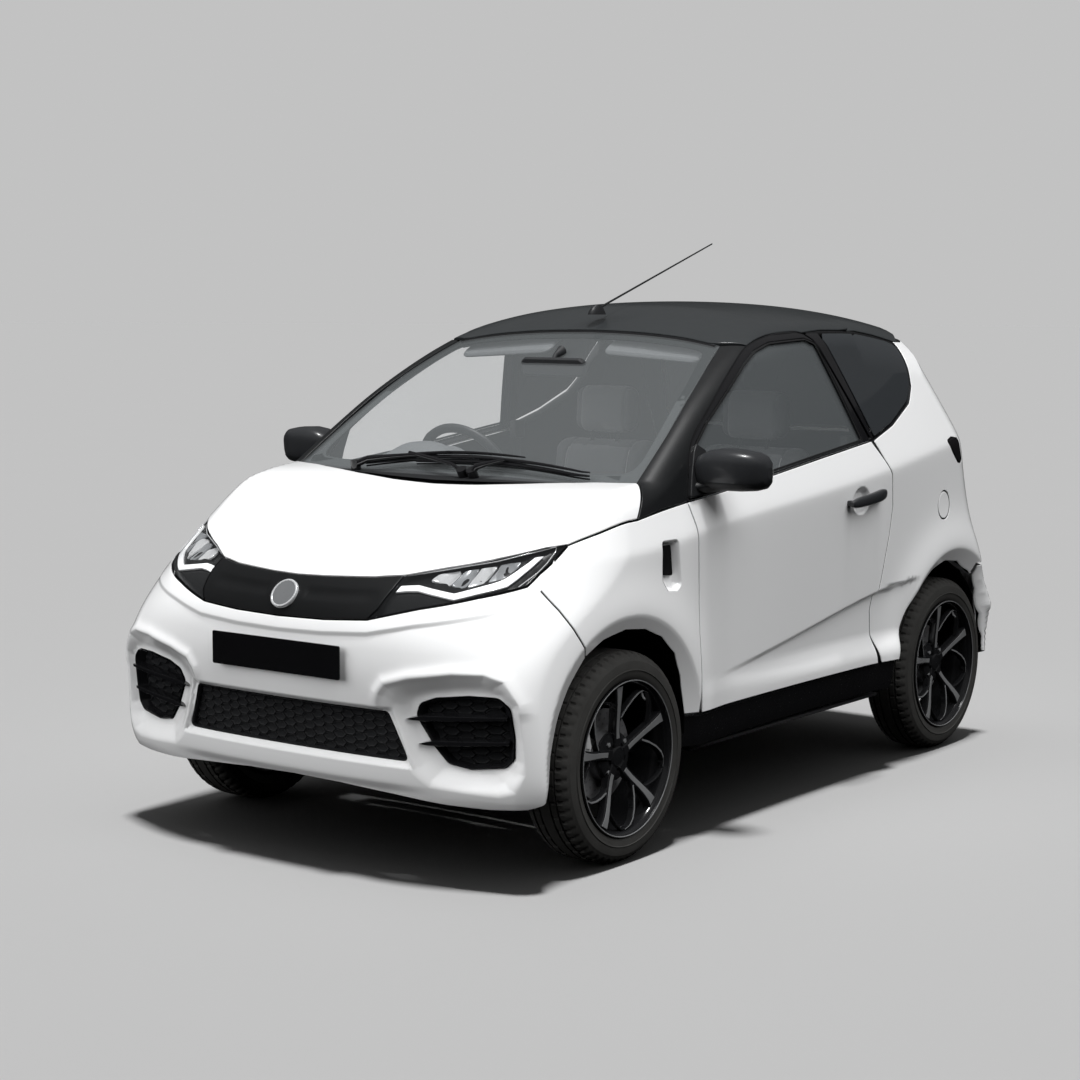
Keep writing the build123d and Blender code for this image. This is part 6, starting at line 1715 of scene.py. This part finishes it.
# belts on the middle pillars
belts = Bits()
for s in (1, -1):
    pth = [(.628, .47, 1.02), (.634, .475, .80), (.640, .48, .50), (.640, .48, .30)]
    rows = [[(s * x, y + w, z) for w in (-.022, .022)] for x, y, z in pth]
    belts.join(grid(np.array(rows), 0)); belts.join(grid(np.array(rows) + [s * .0012, 0, 0], 0, flip=True))
    belts.join(bar((min(s * .618, s * .646), .445, 1.00), (max(s * .618, s * .646), .50, 1.06), .006, 1))
piece("belt_webbing", belts, [M_SEAT_EDGE, M_GREY_D], "body", sharp=40)

# floor: one pressed tray with its bulkhead and boot floor
tray = bar((-.612, -.44, .232), (.612, .74, .250), .006).join(bar((-.662, -.44, .236), (.662, .640, .246), .003))
for a, b_ in (((-.392, -.64, .232), (.392, -.43, .250)), ((-.392, -.64, .232), (.392, -.622, .818)), ((-.630, -.64, .640), (.630, -.622, .840)), ((-.612, .722, .232), (.612, .74, .390)),
              ((-.45, .73, .372), (.45, 1.33, .390)), ((-.45, 1.312, .372), (.45, 1.33, .597))):
    tray.join(bar(a, b_, .005))
for s in (1, -1):
    for a, b_ in (((.380, -.64, .640), (.636, -.43, .652)), ((.380, -.64, .232), (.392, -.428, .652)), ((.380, -.440, .232), (.620, -.428, .652))):
        tray.join(bar((min(s * a[0], s * b_[0]), a[1], a[2]), (max(s * a[0], s * b_[0]), b_[1], b_[2]), .004))
for x in (-.46, -.27, .27, .46):
    tray.join(bar((x - .022, -.40, .222), (x + .022, .70, .234), .004))
piece("floor_tray", tray, [M_CHASSIS], "body", "floor_pan", sharp=40)

# floor mat, luggage floor and its side trims, mirror and visors
def sheet(xs, ys, zfn, m=0, t=.006):
    rows = [[(x, y, zfn(x, y)) for y in ys] for x in xs]
    b = grid(np.array(rows), m)
    b.join(grid(np.array(rows) - [0, 0, t], m, flip=True))
    return b
cab = sheet(np.linspace(-.60, .60, 41), np.linspace(-.44, .60, 30), lambda x, y: .257 + .004 * math.sin(x * 31) * math.sin(y * 23) * .2)
cab.join(sheet(np.linspace(-.43, .43, 30), np.linspace(.60, 1.20, 20), lambda x, y: .505))
rows = [[(x, .598 + .004 * (z - .2), z) for z in np.linspace(.25, .505, 12)] for x in np.linspace(-.60, .60, 40)]
cab.join(grid(np.array(rows), 0)); cab.join(grid(np.array(rows) + [0, .005, 0], 0, flip=True))
piece("cabin_carpet", cab, [M_CARPET], "body", smooth=True, sharp=40)
trims = Bits()
for s in (1, -1):
    trims.join(bar((min(s * .42, s * .455), .61, .50), (max(s * .42, s * .455), 1.19, .66), .012, 0, 3))
piece("luggage_sides", trims, [M_GREY_D], "body", sharp=35)
mir = slab(round_poly([(-.112, -.026), (.112, -.026), (.118, .018), (.10, .030), (-.10, .030), (-.118, .018)], .014), 0, .022, lambda P, d: np.stack([P[:, 0], -.190 + d - .16 * P[:, 1], 1.268 + P[:, 1]], 1), bev=.006, m=0)
mir.join(slab(round_poly([(-.106, -.021), (.106, -.021), (.110, .016), (.095, .025), (-.095, .025), (-.110, .016)], .012), .0215, .0232, lambda P, d: np.stack([P[:, 0], -.190 + d - .16 * P[:, 1], 1.268 + P[:, 1]], 1), bev=.0008, m=1))
mir.join(tube(np.array([(0, -.185, 1.285), (0, -.172, 1.306), (0, -.140, 1.318)]), [.008, .007, .016], 14, 0))
piece("inside_mirror", mir, [M_GREY_D, M_MIRROR], "body", sharp=35)
vis = Bits()
for s in (1, -1):
    vis.join(slab(round_poly([(-.17, -.055), (.17, -.055), (.17, .055), (-.17, .055)], .03), 0, .014, lambda P, d: np.stack([P[:, 0] + s * .27, -.02 + P[:, 1], 1.352 + .50 * P[:, 1] - d - .06 * np.abs(P[:, 0] + s * .27)], 1), bev=.005, m=0))
piece("sun_visors", vis, [M_GREY], "body", sharp=35)

# ------------------------------------------------------------------ floor, light, camera
GREY = .540
def floor():
    a = np.linspace(0, 2 * np.pi, 72, endpoint=False)
    rows = [[(r * math.cos(t), r * math.sin(t), -.0005) for r in (2, 4, 8, 16, 40, 120, 400)] for t in a]
    b = grid(rows, 0, close_u=True, flip=True)
    b.add([(2 * math.cos(t), 2 * math.sin(t), -.0005) for t in a], [list(range(72))], 0)
    V = np.concatenate(b.V)
    me = bpy.data.meshes.new("floor"); me.from_pydata(V.tolist(), [], b.F); me.update()
    ob = bpy.data.objects.new("floor", me); scene.collection.objects.link(ob)
    me.materials.append(mat("floor_grey", (FLOOR, FLOOR, FLOOR), rough=.9, spec=.0, var=.004, vscale=1.5, rvar=.02))
    return ob

SUNS = [  # name, azimuth from -Y towards +X, elevation, strength, angle, does it light the floor
    ("over", 45, 83.5, 2.15, 7, True),
    ("sky", 0, 89, .24, 150, True),
    ("front", -34, 23, 2.40, 60, False),
    ("side", 84, 54, 3.00, 60, False),
    ("rear", 182, 20, 1.5, 70, False),
    ("far", -88, 20, 1.3, 70, False),
]
# the floor's own shade is set so that it meets the plain background without a line
lit = sum(s[3] * math.sin(math.radians(s[2])) for s in SUNS if s[5]) / math.pi
FLOOR = GREY / lit
floor_ob = floor()
floor_ob.visible_diffuse = False
floor_ob.visible_glossy = False
world = bpy.data.worlds.new("studio"); scene.world = world; world.use_nodes = True
world.node_tree.nodes["Background"].inputs["Color"].default_value = (GREY, GREY, GREY, 1)
world.node_tree.nodes["Background"].inputs["Strength"].default_value = 1.0
world.cycles_visibility.diffuse = False
world.cycles_visibility.glossy = False
no_floor = bpy.data.collections.new("lights_for_the_car_only")
no_floor.objects.link(floor_ob)
no_floor.collection_objects[0].light_linking.link_state = 'EXCLUDE'
for name, a_, e_, s_, w_, on_floor in SUNS:
    d = bpy.data.lights.new(name, 'SUN'); d.energy = s_; d.angle = math.radians(w_)
    o = bpy.data.objects.new(name, d); scene.collection.objects.link(o)
    v = Vector((math.sin(math.radians(a_)) * math.cos(math.radians(e_)), -math.cos(math.radians(a_)) * math.cos(math.radians(e_)), math.sin(math.radians(e_))))
    o.location = v * 8
    o.rotation_euler = v.to_track_quat('Z', 'Y').to_euler()
    if not on_floor:
        o.light_linking.receiver_collection = no_floor
        o.visible_glossy = False

az, el, roll = math.radians(36.5853), math.radians(6.3634), math.radians(.2244)
target = Vector((.0992, -.38, .7769)); dist = 6.5
back_v = Vector((math.sin(az) * math.cos(el), -math.cos(az) * math.cos(el), math.sin(el)))
fwd = -back_v
right = fwd.cross(Vector((0, 0, 1))).normalized(); up = right.cross(fwd)
r2 = right * math.cos(roll) + up * math.sin(roll); u2 = up * math.cos(roll) - right * math.sin(roll)
cam_d = bpy.data.cameras.new("camera"); cam_d.sensor_width = 36; cam_d.sensor_fit = 'HORIZONTAL'
cam_d.lens = 2241.72 / 1080 * 36
cam_d.clip_start = .05; cam_d.clip_end = 100
cam = bpy.data.objects.new("camera", cam_d); scene.collection.objects.link(cam)
R = Matrix((r2, u2, back_v)).transposed().to_4x4()
cam.matrix_world = Matrix.Translation(target + back_v * dist) @ R
scene.camera = cam
scene.view_settings.view_transform = 'Standard'
